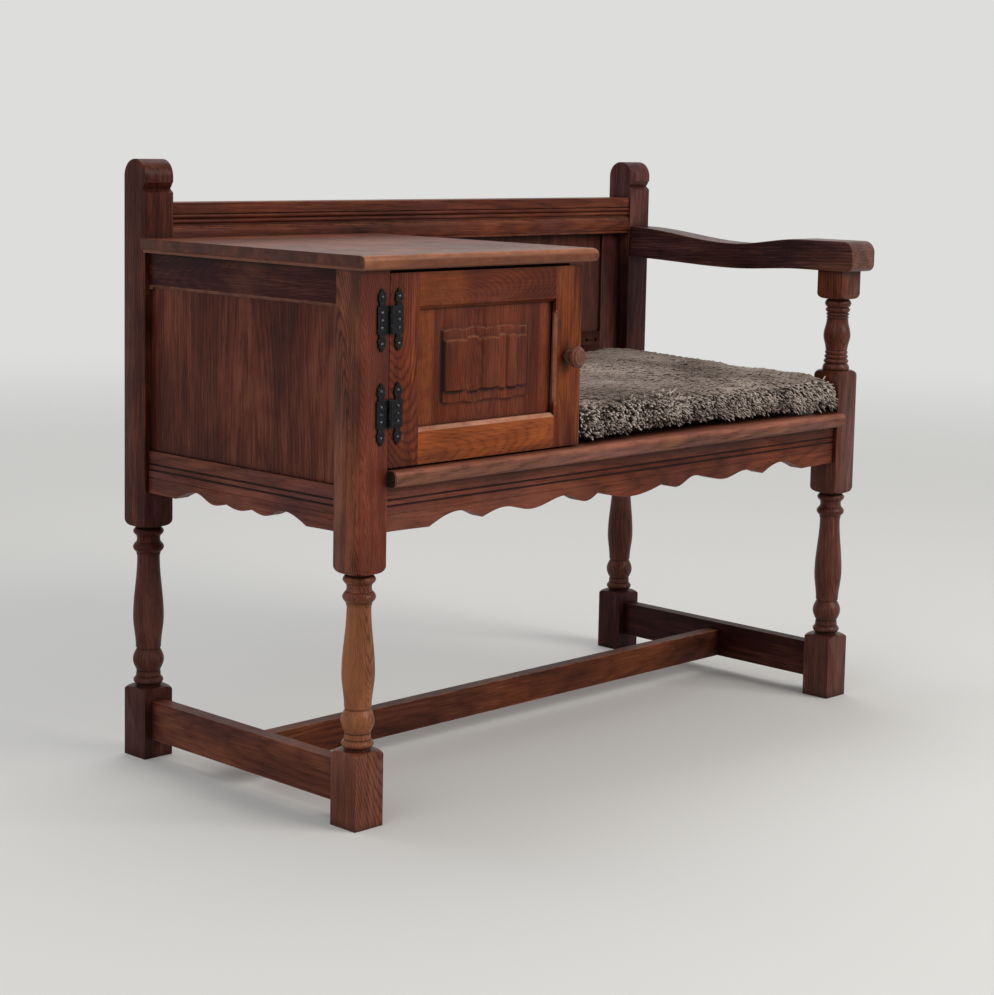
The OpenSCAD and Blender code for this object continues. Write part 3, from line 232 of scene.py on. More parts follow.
# What each part of the grain adds to the tone, how far the tone reaches to both sides of its
# middle, and the share of a face that early wood and pores take
FIBRE, STREAK, CLOUD, EARLY, PORE = 1.05, 0.75, 1.45, -0.3, -0.2
TONE_REACH, COVERED = 0.62, 0.2
# How soft the ends of bands and strips of stain and painted light are, and how wide the aprons'
# dark lines of painted shade
BAND_SOFT, STRIP_END, SHARP = 8 * MM, 6 * MM, 0.8 * MM
GROOVE_CORE, GROOVE_EDGE = 0.7 * MM, 1.6 * MM
GRAIN_RELIEF = 0.2 * MM


def wood_noise(s, kind, place, shift=(0, 0, 0), **more):
    scale, along, detail, roughness = WOOD_NOISES[kind]
    stretched = s.mapped(place, scale=(1, 1, along), shift=shift)
    return s.noise(stretched, scale, detail, roughness, **more)


def wood_grain(s, node, lie, seed, ring, lean, heart):
    """The values that make up a piece's grain, with the coordinates that they lie in."""
    place = s.coordinates()
    centre = [(a + b) / 2 for a, b in zip(*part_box(node))]
    grained = s.mapped(s.vector("SUBTRACT", place, centre), turn=GRAIN_TURNS[lie[0]])
    own = s.mapped(grained, shift=[seed * step for step in SEED_STEP])
    heart_at = [HEART_SIDE, HEART_SIDE, 0]
    heart_at[1 if lie in FACE_ALONG_Y else 0] = heart * MM
    log = s.mapped(grained, turn=(lean, lean * 0.7, 0), shift=heart_at)
    sway = s.vector("SUBTRACT", wood_noise(s, "sway", own, output="Color"), (0.5, 0.5, 0.5))
    sway = s.vector("MULTIPLY", sway, (SWAY, SWAY, 0))
    across = s.vector("MULTIPLY", s.vector("ADD", log, sway), (1, 1, 0))
    rings = s.sum((s.vector("LENGTH", across, output="Value"), 1 / (ring * MM)),
                  (wood_noise(s, "ripple", own), RIPPLE))
    swing = s.math("ABSOLUTE", s.math("SUBTRACT", s.math("FRACT", rings), 0.5))
    bent = s.vector("ADD", own, s.vector("MULTIPLY", sway, (FOLLOW, FOLLOW, 0)))
    cloud = wood_noise(s, "cloud", own, distortion=0.4)
    early = s.times(s.math("POWER", s.levels(swing, 0.04, 0.32, 1, 0), 1.5),
                    s.levels(cloud, 0.28, 0.62, 1.0, 0.3))
    pores = s.sum((wood_noise(s, "pore", own), 1.0), (early, 0.16))
    return SimpleNamespace(
        axes=s.node("SeparateXYZ", {0: place}).outputs, grained=grained, own=own, cloud=cloud,
        early=early, pores=s.levels(pores, 0.60, 0.74),
        fibre=wood_noise(s, "fibre", bent), streak=wood_noise(s, "streak", bent))


def stain_and_painted_light(s, colour, tone, inside, patchy, strength, stain, dark, light):
    """Lays a second stain, painted highlight or painted shade over the colour, as far as inside and
    patchy let it.
    """
    stain = srgb(*stain)
    share = s.times(s.times(inside, patchy), strength)
    return s.mix(share, colour, s.mix(tone, scaled(stain, dark), scaled(stain, light)))


def with_bands(s, colour, tone, wood, bands):
    for base, top, stain, strength in bands:
        inside = s.window(wood.axes["Z"], (base - BAND_SOFT, base + BAND_SOFT),
                          (top - BAND_SOFT, top + BAND_SOFT))
        patchy = s.levels(wood.cloud, 0.35, 0.6, 0.5, 1)
        colour = stain_and_painted_light(s, colour, tone, inside, patchy, strength, stain, 0.5, 1.6)
    return colour


def with_strips(s, colour, tone, wood, rub, strips):
    # a strip lays stain, painted highlight or painted shade, as its colour is
    for axis, start, stop, stain, strength, *more in strips:
        soft, *levels = more or (SHARP,)
        inside = s.window(wood.axes[axis], (start - soft, start), (stop, stop + soft))
        for base, top in levels:
            ends = s.window(wood.axes["Z"], (base, base + STRIP_END), (top - STRIP_END, top))
            inside = s.times(inside, ends)
        patchy = s.levels(rub, 0.32, 0.6, 0.35, 1)
        colour = stain_and_painted_light(s, colour, tone, inside, patchy, strength, stain, 0.6, 1.35)
    return colour


def with_carving(s, colour, rub):
    """Painted highlight and wear on the carving's ridges and the upper ends of its folds, and
    painted shadow and grime in its recesses, as its mesh gives them.
    """
    lit_and_rubbed = s.times(s.attribute("wear_and_highlight"), s.levels(rub, 0.35, 0.6, 0.25, 0.75))
    return s.mix(s.attribute("shadow_and_dirt"), s.mix(lit_and_rubbed, colour, scaled(WEAR_AND_HIGHLIGHT, 0.9)), SHADE_AND_GRIME)


def oak(name, node, lie, mid, seed, ring=4.5, lean=0.05, figure=1.0, wear=0.0, gloss=0.46,
        shine=0.10, shade_and_dirt=0.8, nook_reach=16, contrast=1.0, heart=70, hue=1.0,
        bands=(), strips=(), grooves=(), carved=False):
    """Oak under stain, with painted shade. ring is the width of its growth rings, heart how far
    behind the face the tree's heart lies and nook_reach how far the painted shade and grime of
    corners spread, in millimetres. lean slants the grain, which draws arches on the face, figure is
    how strongly they show, and hue how far the stain mid strays to red and orange. bands are (low,
    high, colour, strength) of stain, strips (axis, from, to, colour, strength) of stain, painted
    highlight or painted shade, and then how soft their sides are and the levels that they lie
    between, and grooves the levels of dark lines of painted shade."""
    s = Shader(name)
    mid = srgb(*mid)
    wood = wood_grain(s, node, lie, seed, ring, lean, heart)
    rub = wood_noise(s, "rub", wood.grained)
    tone = s.sum((wood.fibre, FIBRE * contrast), (wood.streak, STREAK * contrast),
                 (wood.cloud, CLOUD * contrast), (wood.early, EARLY * figure * contrast),
                 (wood.pores, PORE * contrast))
    middle = ((FIBRE + STREAK + CLOUD) / 2 + COVERED * (EARLY * figure + PORE)) * contrast
    tone = s.levels(tone, middle - TONE_REACH, middle + TONE_REACH)
    pale = blended(scaled(mid, 1.7), FADED, FADED_SHARE)
    colour = s.ramp(tone, [(0.06, scaled(mid, 0.30, 0.08)), (0.34, scaled(mid, 0.68, 0.05)),
                           (0.56, scaled(mid, 1.08)), (0.92, pale)])
    blush = wood_noise(s, "blush", wood.own, BLUSH_STEP, distortion=0.6)
    tints = [blended(EVEN, tint, hue) for tint in (MAROON, EMBER)]
    tint = s.mix(s.levels(blush, 0.36, 0.64), *tints)
    colour = s.mix(1.0, colour, tint, "MULTIPLY")
    colour = with_bands(s, colour, tone, wood, bands)
    colour = with_strips(s, colour, tone, wood, rub, strips)
    if carved:
        colour = with_carving(s, colour, rub)
    if wear:
        colour = s.mix(s.levels(rub, 0.42, 0.64, wear * 0.12, wear), colour, WEAR_AND_HIGHLIGHT)
    # painted shade with some grime: ambient occlusion darkens corners and crevices
    nook = s.node("AmbientOcclusion", {"Distance": nook_reach * MM}, samples=6).outputs["AO"]
    colour = s.mix(s.levels(nook, 0.30, 0.88, shade_and_dirt, 0), colour, SHADE_AND_GRIME)
    # painted shade: a dark line along each groove
    for level in grooves:
        off = s.math("ABSOLUTE", s.math("SUBTRACT", wood.axes["Z"], level))
        colour = s.mix(s.levels(off, GROOVE_CORE, GROOVE_EDGE, 0.9, 0), colour, SHADE_AND_GRIME)
    haze = wood_noise(s, "haze", wood.own)
    rough = s.sum((haze, 0.24), (wood.pores, 0.15), (wood.fibre, 0.12), (1.0, gloss - 0.18))
    relief = s.sum((wood.fibre, 0.6), (wood.pores, -0.8), (wood.early, -0.2))
    s.principled(
        Base_Color=colour, Roughness=rough, Specular_IOR_Level=shine,
        Coat_Weight=0.35 * shine, Coat_Roughness=0.2, Normal=s.bump(relief, 0.45, GRAIN_RELIEF),
    )
    return s.material


# How wide edges are eased, and the least angle of one, also on turned pieces
EASED, EASED_METAL, EASED_SMALL = 0.9 * MM, 0.35 * MM, 0.6 * MM
EDGE_DEG, TURNED_EDGE_DEG = 32, 50
FLAT_DEG = 0.4
WELD_GAP = 0.002 * MM
# Wear of the edges where the table of wood gives none
EDGE_WEAR = 0.15


def modify(piece, kind, **settings):
    return put(piece.modifiers.new(kind, kind), **settings)


def ease_edges(piece, width=EASED, limit_deg=EDGE_DEG):
    """Takes the sharpness off a CAD node's edges, which take its last material."""
    custom = piece.data.attributes.get("custom_normal")
    if custom:
        piece.data.attributes.remove(custom)
    piece.data.shade_smooth()
    modify(piece, "WELD", merge_threshold=WELD_GAP)
    modify(piece, "DECIMATE", decimate_type="DISSOLVE", angle_limit=math.radians(FLAT_DEG))
    modify(piece, "BEVEL", width=width, segments=2, limit_method="ANGLE",
           angle_limit=math.radians(limit_deg), harden_normals=True, miter_outer="MITER_ARC",
           material=len(piece.data.materials) - 1)


def dress(piece, *materials):
    piece.data.materials.clear()
    for material in materials:
        piece.data.materials.append(material)
    return piece


def at(node, corner, axis):
    """The lowest or highest place of a node along x, y or z."""
    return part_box(node)[corner]["XYZ".index(axis)]


TOP_LOW, TOP_HIGH = at("cupboard_top", 0, "Z"), at("cupboard_top", 1, "Z")
TOP_LEFT, TOP_FRONT = at("cupboard_top", 0, "X"), at("cupboard_top", 0, "Y")
LEFT_RAIL_LOW = at("cupboard_left_top_rail", 0, "Z")
LOW_RAIL_TOP = at("door_low_rail", 1, "Z")
TOP_RAIL_LOW = at("door_top_rail", 0, "Z")
LOCK_STILE_IN = at("door_lock_stile", 0, "X")
POST_FRONT = at("front_left_post", 0, "Y")
PANEL_LEFT, PANEL_RIGHT = at("door_panel", 0, "X"), at("door_panel", 1, "X")
NOSING_LEFT, SEAT_HIGH = at("front_left_post", 1, "X"), at("seat_board", 1, "Z")
# Levels of the posts' feet, turned legs and square parts, and of the front apron's two fields
FOOT, LEG, SQUARE = (-0.02, 0.098), (0.098, 0.274), (0.3, 0.8)
APRON_UPPER, APRON_LOWER = (0.399, 0.44), (0.32, 0.381)
# To the left of these places the apron and the nosing are paler, which fades out slowly
APRON_PALE, NOSING_PALE_TO, SLOW = (-0.6, -0.2), -0.10, 160 * MM

DARK_POST = dict(wear=0.25, figure=0.8, hue=0.6, shine=0.08, gloss=0.4, contrast=1.4)
# Stain of each piece, as it looks in the photograph, and its strips of painted highlight and shade:
# lie, colour, and what differs
WOOD = {
    "front_left_post": ("zy", (84, 44, 31), dict(
        lean=0.15, heart=26, figure=1.7, wear=0.5, ring=2.3, hue=0.7, shine=0.13, gloss=0.34,
        contrast=1.55,
        bands=((*LEG, (122, 74, 45), 0.85), (*FOOT, (112, 66, 52), 0.6)),
        # painted light: the square part's front face is painted redder than its sides, as the light
        # falls on it
        strips=(("Y", POST_FRONT - 2 * MM, POST_FRONT + 0.6 * MM, (92, 34, 18), 0.8, SHARP,
                 SQUARE),))),
    "front_right_post": ("zy", (76, 39, 28), dict(
        wear=0.3, hue=0.6, shine=0.13, gloss=0.34, contrast=1.3,
        bands=((*LEG, (92, 52, 44), 0.5), (*FOOT, (92, 58, 50), 0.5)))),
    "back_left_post": ("zy", (61, 25, 18), dict(
        DARK_POST, bands=((*LEG, (76, 46, 40), 0.6), (*FOOT, (68, 42, 38), 0.5)))),
    "back_right_post": ("zy", (63, 32, 32), dict(
        DARK_POST, bands=((*LEG, (98, 60, 50), 0.8),))),
    "left_stretcher": ("yx", (74, 39, 31), dict(lean=0.09, wear=0.5, figure=1.2)),
    "right_stretcher": ("yx", (47, 16, 11), dict(wear=0.4)),
    "centre_stretcher": ("xy", (77, 40, 24), dict(lean=0.06, wear=0.5)),
    "front_apron": ("xy", (79, 34, 17), dict(
        lean=0.06, wear=0.45, contrast=1.15, bands=(
            (*APRON_UPPER, (104, 66, 54), 0.45), (*APRON_LOWER, (108, 60, 42), 0.35)),
        strips=(("X", *APRON_PALE, (112, 68, 56), 0.4, SLOW),))),
    "left_apron": ("yx", (88, 50, 43), dict(wear=0.4)),
    "right_apron": ("yx", (70, 35, 26), dict(wear=0.3)),
    "back_seat_rail": ("xy", (56, 27, 20), dict(gloss=0.6, shine=0.06)),
    "seat_board": ("xz", (103, 70, 58), dict(
        wear=0.75, gloss=0.4, contrast=1.15,
        strips=(("X", NOSING_LEFT, NOSING_PALE_TO, (132, 86, 70), 0.5, SLOW),
                # painted highlight with wear: the upper rounding of the nosing is paler
                ("Z", SEAT_HIGH - 5 * MM, SEAT_HIGH, (152, 88, 66), 0.6, 3 * MM),
                # painted shade: the nosing's left end, its end grain, is darkened
                ("X", NOSING_LEFT - 1 * MM, NOSING_LEFT + 1.5 * MM, (44, 36, 32), 1.2)))),
    "cupboard_left_top_rail": ("yx", (44, 9, 8), dict(
        lean=0.2, figure=0.8, ring=3.6, heart=40, wear=0.3, hue=0.6,
        # painted reflection: the rail's lower chamfer, which faces down, is pale
        strips=(("Z", LEFT_RAIL_LOW, LEFT_RAIL_LOW + 4.8 * MM, (128, 86, 72), 0.8),))),
    "cupboard_left_panel": ("zx", (71, 30, 20), dict(
        lean=0.05, figure=0.8, ring=5, hue=0.4, contrast=1.35)),
    "cupboard_right_front_stile": ("zx", (72, 36, 26), dict(wear=0.3)),
    "cupboard_right_back_stile": ("zx", (62, 32, 24), {}),
    "cupboard_right_low_rail": ("yx", (64, 33, 25), {}),
    "cupboard_right_top_rail": ("yx", (64, 33, 25), {}),
    "cupboard_right_panel": ("zx", (66, 34, 25), {}),
    "cupboard_front_rail": ("xy", (60, 30, 22), {}),
    "cupboard_top": ("xz", (97, 54, 38), dict(
        wear=0.75, gloss=0.36, shine=0.16, contrast=0.8, strips=(
            # painted highlight on the front rounding of the top
            ("Y", TOP_FRONT, TOP_FRONT + 6 * MM, (170, 108, 72), 0.75),
            # painted shade: below the rounding the edges are darker
            ("Z", TOP_LOW, TOP_HIGH - 9 * MM, (112, 62, 38), 0.45, 4 * MM),
            ("X", TOP_LEFT + 90 * MM, 1.0, (84, 40, 24), 0.9, 60 * MM,
             (TOP_LOW - 6 * MM, TOP_HIGH - 2 * MM)),
            # painted shade: the left end face is dark
            ("X", TOP_LEFT, TOP_LEFT + 1.5 * MM, (58, 28, 22), 0.95),
            # painted reflection: the lower lip of the edges is paler
            ("Z", TOP_LOW, TOP_LOW + 3 * MM, (120, 80, 62), 0.6)))),
    # its eased edges are painted pale, as wear and as the highlights along its mouldings
    "back_top_rail": ("xy", (84, 41, 26), dict(wear=0.8, contrast=1.15)),
    "back_left_stile": ("zy", (50, 26, 20), {}),
    "back_right_stile": ("zy", (58, 29, 28), dict(hue=0.4)),
    "back_low_rail": ("xy", (54, 26, 20), dict(gloss=0.6, shine=0.06)),
    "back_panel": ("zy", (70, 38, 32), dict(figure=0.7, contrast=1.2)),
    "arm_rest": ("yz", (63, 40, 40), dict(wear=0.4, gloss=0.36, shine=0.15, contrast=1.4)),
    "door_hinge_stile": ("zy", (86, 37, 19), dict(
        lean=0.26, figure=1.6, ring=3.2, wear=0.35, contrast=1.15, heart=45)),
    "door_lock_stile": ("zy", (87, 39, 12), dict(
        lean=0.03, wear=0.5, contrast=1.4,
        # painted highlight on the inner chamfer, kept off its top where shadow falls
        strips=(("X", LOCK_STILE_IN, LOCK_STILE_IN + 3.4 * MM, (150, 100, 80), 0.75, SHARP,
                 (LOW_RAIL_TOP + 8 * MM, TOP_RAIL_LOW - 10 * MM)),))),
    "door_top_rail": ("xy", (84, 35, 14), dict(
        lean=0.22, figure=1.2, ring=2.2, heart=40, wear=0.3,
        strips=(("X", PANEL_LEFT + 8 * MM, PANEL_LEFT + 70 * MM, (128, 66, 30), 0.55,
                 30 * MM),))),
    "door_low_rail": ("xy", (128, 68, 33), dict(
        lean=0.10, figure=0.45, ring=2.0, wear=0.7,
        # painted highlight: the top chamfer, which faces up
        strips=(("Z", LOW_RAIL_TOP - 4.4 * MM, LOW_RAIL_TOP, CHAMFER_HIGHLIGHT, 0.95),))),
    "door_panel": ("zy", (79, 32, 14), dict(
        lean=0.16, figure=1.1, ring=3.6, heart=30, wear=0.5, nook_reach=9, shade_and_dirt=0.95, strips=(
            ("X", PANEL_LEFT + 9 * MM, PANEL_LEFT + 32 * MM, (128, 64, 28), 0.8, 9 * MM),
            ("X", PANEL_RIGHT - 24 * MM, PANEL_RIGHT - 18 * MM, (118, 58, 28), 0.65, 7 * MM)))),
    "door_knob": ("yx", (106, 71, 62), dict(wear=0.5, ring=3)),
}
# Levels of the dark lines of painted shade that run along the aprons' grooves
APRON_GROOVES = (0.394, 0.3865)
SEED_PITCH = 0.37


def stain_wood():
    """Dresses the wooden nodes, and gives the oak of the door's panel, which is carved later."""
    panel_oak = None
    for place, (node, (lie, mid, more)) in enumerate(WOOD.items()):
        more = dict(more, seed=1 + SEED_PITCH * place)
        edge_wear = more.pop("wear", EDGE_WEAR)
        if node.endswith("_apron"):
            more["grooves"] = APRON_GROOVES
        if node == "door_panel":
            panel_oak = oak(node, node, lie, mid, carved=True, **more)
            continue
        plain = oak(node, node, lie, mid, **more)
        edges = oak(node + ".edge", node, lie, mid, wear=edge_wear, **more)
        turned = node.endswith("_post") or node == "door_knob"
        ease_edges(dress(NODES[node], plain, edges), EASED, TURNED_EDGE_DEG if turned else EDGE_DEG)
    return panel_oak


def vectors(collection, name="co", kind=float):
    found = np.empty(len(collection) * 3, dtype=kind)
    collection.foreach_get(name, found)
    return found.reshape(-1, 3)


def store(mesh, name, values):
    """Keeps a value for each point of a mesh, for its material to read."""
    mesh.attributes.new(name, "FLOAT", "POINT").data.foreach_set("value", values)


# Linenfold, in shares of the carving's width: start, end, height, which side is steep, and how
# far the fold's ends run past the rest in millimetres
FOLDS = (
    (0.000, 0.270, 0.92, -1, 0.0), (0.262, 0.425, 0.78, 1, 3.4), (0.440, 0.645, 1.00, -1, 0.6),
    (0.650, 0.742, 0.72, 1, 3.6), (0.742, 0.882, 1.00, -1, 2.6), (0.876, 1.000, 0.66, 1, 0.4))
# Its wavy hem: start and end of each wave, and how far it reaches in millimetres
HEM_WAVES = (
    (0.00, 0.25, 1.5), (0.25, 0.50, 3.0), (0.50, 0.62, 1.0), (0.62, 0.86, 2.5), (0.86, 1.00, 0.5))
CARVING_STEP = 0.75 * MM
# How high the folds, the valleys between them as a share, and the hem stand
FOLD_RISE = 4.9 * MM
VALLEY = 0.56
HEM_RISE = 2.0 * MM
# Where the ends of the hem and the folds lie within the carving, at its foot and its head
HEM_WIDTH = 11.5 * MM
HEM_FOOT_IN, HEM_HEAD_IN = 3 * MM, 5 * MM
FOLD_FOOT_IN, FOLD_HEAD_IN = HEM_WIDTH + 5 * MM, HEM_WIDTH + 6 * MM
# How far the middle of a fold's end bows out, and the share of it that shows at foot and head
FOLD_BOW = 1.8 * MM
BOW_AT_FOOT, BOW_AT_HEAD = 0.5, 0.8
# How soft the steps of the carving are
SIDE_SOFT, HEM_SOFT, FOLD_SOFT = 1.0 * MM, 1.2 * MM, 1.4 * MM
# A fold's roll, in shares of its width: steep side, gentle side, crest, and how far it sinks
STEEP_SIDE, GENTLE_SIDE, CREST_AT, BACK_SINK = 0.10, 0.14, 0.28, 0.38
# Chisel marks: how deep, and where the carving is high enough for them
CHISEL_MARKS, MARKED_FROM = 0.12 * MM, 0.4 * MM
# Painted shadow, grime and wear: the passes that blur the carving to tell hollows from crests, how
# deep and high these are in full, and how near and high a wall casts a painted shadow
BLUR_PASSES = 26
HOLLOW_DEPTH, CREST_HEIGHT = 0.9 * MM, 1.7 * MM
SHADOW_STEPS, SHADOW_HEIGHT = 4, 1.5 * MM
LEFT_WALL = 0.05
# How far the carving falls towards a fold's upper end, and how high it stands there, for its
# painted highlight
PALE_END_FALL, PALE_END_FROM = 0.25 * MM, 1.2 * MM
# How soft the edges of the zones of painted shadow are
SHADOW_SOFT = 4 * MM


def share_of(v):
    return np.clip(v, 0, 1)


def eased(v, start=0.0, width=1.0):
    """0 up to start, 1 from one width after it, and a smooth rise between."""
    v = share_of((v - start) / width)
    return v * v * (3 - 2 * v)


def within(v, low, high, soft):
    """1 well between low and high, 0 outside them."""
    return eased(v, low, soft) * eased(-v, -high, soft)


def softened(grid, passes):
    """Blurs a grid a little, pass by pass."""
    for _ in range(passes):
        padded = np.pad(grid, 1, mode="edge")
        grid = (padded[1:-1, 1:-1] * 2 + padded[:-2, 1:-1] + padded[2:, 1:-1]
                + padded[1:-1, :-2] + padded[1:-1, 2:]) / 6
    return grid


def hem_height(share, z, foot, head):
    """The shallow hem behind the folds, wavy at its foot and head."""
    wave = sum(reach * MM * np.sin(math.pi * share_of((share - start) / (stop - start))) ** 0.7
               for start, stop, reach in HEM_WAVES)
    ripple = 0.8 + 0.2 * np.sin(share * math.pi * 8.4 + 0.6)
    return HEM_RISE * ripple * within(
        z, foot + HEM_FOOT_IN - wave, head - HEM_HEAD_IN + wave, HEM_SOFT)


def fold_height(share, z, foot, head):
    """The rolled folds and the shallow valleys in which they run together."""
    height = np.zeros_like(z)
    for start, stop, tall, steep, past in FOLDS:
        v = (share - start) / (stop - start)
        w = share_of(v if steep < 0 else 1 - v)
        back = 1 - BACK_SINK + BACK_SINK * np.cos((w - CREST_AT) * 1.45) ** 2
        roll = eased(w, 0, STEEP_SIDE) * back * eased(1 - w, 0, GENTLE_SIDE) ** 0.7
        bow = past * MM + FOLD_BOW * np.sin(math.pi * share_of(v)) ** 1.5
        ends = within(z, foot + FOLD_FOOT_IN - bow * BOW_AT_FOOT,
                      head - FOLD_HEAD_IN + bow * BOW_AT_HEAD, FOLD_SOFT)
        height = np.maximum(height, FOLD_RISE * tall * roll * ends)
        if not past:
            # the valleys end where the plainest fold does
            across = eased(share, 0, 0.015) * eased(-share, -0.985, 0.02)
            height = np.maximum(height, FOLD_RISE * VALLEY * across * ends)
    return height


def shade_dirt_and_wear(height, share, over_foot):
    """Painted shadow, grime, wear and painted highlight of the carving's points. over_foot is how
    high they lie over its foot.
    """
    around = softened(height, BLUR_PASSES)
    beside_it, over_it = (
        share_of((np.roll(height, -SHADOW_STEPS, axis=axis) - height) / SHADOW_HEIGHT)
        for axis in (1, 0))
    # the recesses darken as painted shade and grime, thickly at the carving's edges and thinly
    # between the folds; the left side and the undersides of the folds get a painted shadow
    amid = eased(share, 0.02, 0.03) * eased(-share, -0.99, 0.02) \
        * eased(over_foot, HEM_WIDTH + 3 * MM, SHADOW_SOFT)
    shadow_and_dirt = share_of((around - height) / HOLLOW_DEPTH) ** 0.8 * (0.92 - 0.5 * amid)
    under_folds = eased(over_foot, HEM_WIDTH - 7 * MM, SHADOW_SOFT)
    shadowed = np.maximum(beside_it * np.where(share < LEFT_WALL, 0.95, 0.2),
                           over_it * (0.45 + 0.5 * under_folds))
    shadow_and_dirt = np.maximum(shadow_and_dirt, softened(shadowed, 4))
    wear_and_highlight = share_of((height - around) / CREST_HEIGHT) ** 1.5
    # only the upper ends of the folds, which face up, are painted pale, as highlight and as wear
    upper = 1.0 * (np.gradient(height, axis=0) < -PALE_END_FALL)
    wear_and_highlight = wear_and_highlight * 0.3 + softened(upper, 1) * 0.5 * (height > PALE_END_FROM)
    return shadow_and_dirt, share_of(wear_and_highlight) * (1 - shadow_and_dirt)


def relief_mesh(name, front, back, attributes):
    """A closed mesh with a grid of points as its smooth front and a flat back at y = back."""
    rows, columns, _ = front.shape
    front = front.reshape(-1, 3)
    index = np.arange(rows * columns).reshape(rows, columns)
    quads = np.stack([index[:-1, :-1], index[:-1, 1:], index[1:, 1:], index[1:, :-1]], axis=-1)
    rim = np.concatenate([index[0, :], index[1:, -1], index[-1, -2::-1], index[-2:0:-1, 0]])
    behind = front[rim] * (1, 0, 1) + (0, back, 0)
    base = len(front) + np.arange(len(rim))
    walls = np.stack([rim, base, np.roll(base, -1), np.roll(rim, -1)], axis=1)
    faces = quads.reshape(-1, 4).tolist()
    smooth = [True] * len(faces) + [False] * (len(walls) + 1)
    faces += walls.tolist() + [base[::-1].tolist()]
    mesh = bpy.data.meshes.new(name)
    mesh.from_pydata(np.concatenate([front, behind]).tolist(), [], faces)
    mesh.polygons.foreach_set("use_smooth", smooth)
    for attribute, values in attributes.items():
        store(mesh, attribute, np.concatenate([values.ravel(), np.zeros(len(rim))]))
    return mesh


def carve_panel(material):
    """The door panel with its linenfold cut as rounded folds over a shallow, wavy hem."""
    low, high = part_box("door_panel")
    body = vectors(NODES["door_panel"].data.vertices)
    flat_y = body[np.abs(body[:, 0] - low[0]) < 0.5 * MM][:, 1].min()
    raised = body[body[:, 1] < flat_y - 0.6 * MM]
    (left, _, foot), (right, _, head) = raised.min(axis=0), raised.max(axis=0)
    x, z = np.meshgrid(*(
        np.linspace(low[axis], high[axis], int((high[axis] - low[axis]) / CARVING_STEP))
        for axis in (0, 2)))
    share = (x - left) / (right - left)
    hem = within(x, left, right, SIDE_SOFT) * hem_height(share, z, foot, head)
    height = softened(np.maximum(hem, fold_height(share, z, foot, head)), 2)
    marks = [noise.noise(Vector((a, 0, 0.4 * b)) * 90) for a, b in zip(x.ravel(), z.ravel())]
    height = height + np.reshape(marks, x.shape) * CHISEL_MARKS * (height > MARKED_FROM)
    shadow_and_dirt, wear_and_highlight = shade_dirt_and_wear(height, share, z - foot)
    front = np.stack([x, flat_y - height, z], axis=-1)
    mesh = relief_mesh("carved_panel", front, high[1], {"shadow_and_dirt": shadow_and_dirt, "wear_and_highlight": wear_and_highlight})
    panel = dress(added("carved_panel", mesh), material)
    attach(panel, "door")
    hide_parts("door_panel")


carve_panel(stain_wood())


def black_iron():
    """Hammered iron under worn black paint."""
    s = Shader("black_iron")
    place = s.coordinates()
    dents = s.node("TexVoronoi", {"Vector": place, "Scale": 420}, feature="SMOOTH_F1")
    grit = s.noise(place, 900, detail=4, roughness=0.7)
    rub = s.noise(place, 260, detail=3, roughness=0.6)
    colour = s.mix(s.levels(rub, 0.5, 0.75), srgb(10, 11, 14), srgb(38, 40, 46))
    s.principled(
        Base_Color=colour, Metallic=0.75, Roughness=s.levels(grit, 0.3, 0.7, 0.32, 0.55),
        Normal=s.bump(s.sum((dents.outputs["Distance"], 1.0), (grit, 0.3)), 0.7, 0.5 * MM),
    )
    return s.material


def bright_studs():
    """Stud heads, rubbed bright in patches."""
    s = Shader("stud_iron")
    rub = s.noise(s.coordinates(), 700, detail=3)
    s.principled(
        Base_Color=s.mix(s.levels(rub, 0.4, 0.7), srgb(48, 50, 56), srgb(122, 126, 132)),
        Metallic=0.9, Roughness=s.levels(rub, 0.3, 0.7, 0.2, 0.4),
    )
    return s.material


def steel():
    """Plated screws and plates, faintly brushed."""
    s = Shader("steel")
    brushed = s.noise(s.mapped(s.coordinates(), scale=(1, 0.1, 1)), 1500, detail=3)
    plating = srgb(176, 176, 172)
    s.principled(
        Base_Color=s.mix(brushed, scaled(plating, 0.8), scaled(plating, 1.1)), Metallic=0.9,
        Roughness=s.levels(brushed, 0.3, 0.7, 0.28, 0.42), Normal=s.bump(brushed, 0.1, 0.1 * MM),
    )
    return s.material


def moulded_plastic():
    s = Shader("catch_plastic")
    grain = s.noise(s.coordinates(), 1800, detail=2)
    s.principled(
        Base_Color=s.mix(grain, srgb(198, 192, 180), srgb(214, 208, 197)),
        Roughness=s.levels(grain, 0.3, 0.7, 0.42, 0.5), Normal=s.bump(grain, 0.08, 0.05 * MM),
    )
    return s.material


def dress_fittings():
    iron, studs, plated = black_iron(), bright_studs(), steel()
    for node, piece in NODES.items():
        if node.endswith("_leaf"):
            ease_edges(dress(piece, iron), EASED_METAL)
        elif node.endswith("_studs"):
            dress(piece, studs)
        elif node.endswith("_screws") or node in ("knob_screw", "hinge_pins", "catch_strike"):
            dress(piece, plated)
    ease_edges(dress(NODES["magnetic_catch"], moulded_plastic()), EASED_SMALL)
    for node in ("seat_glue_blocks", "top_cleats"):
        raw = oak(node, node, "xz", (140, 100, 66), seed=9.0, shade_and_dirt=0.5)
        ease_edges(dress(NODES[node], raw), EASED_SMALL)


dress_fittings()


# Seat pad: a crowned cushion under a dark sheepskin pile of curved locks
PAD_LOW, PAD_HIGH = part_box("seat_pad")
SEAT_TOP = PAD_LOW[2] - 0.3 * MM
CUSHION_FLOOR = SEAT_TOP + 0.8 * MM
CUSHION_INSET, CUSHION_WELD, VOXEL = 7 * MM, 0.01 * MM, 6 * MM
PRESSURE, STIFFNESS, CLOTH_FRAMES, SWELL_CAP = 4, 8, 20, 6 * MM
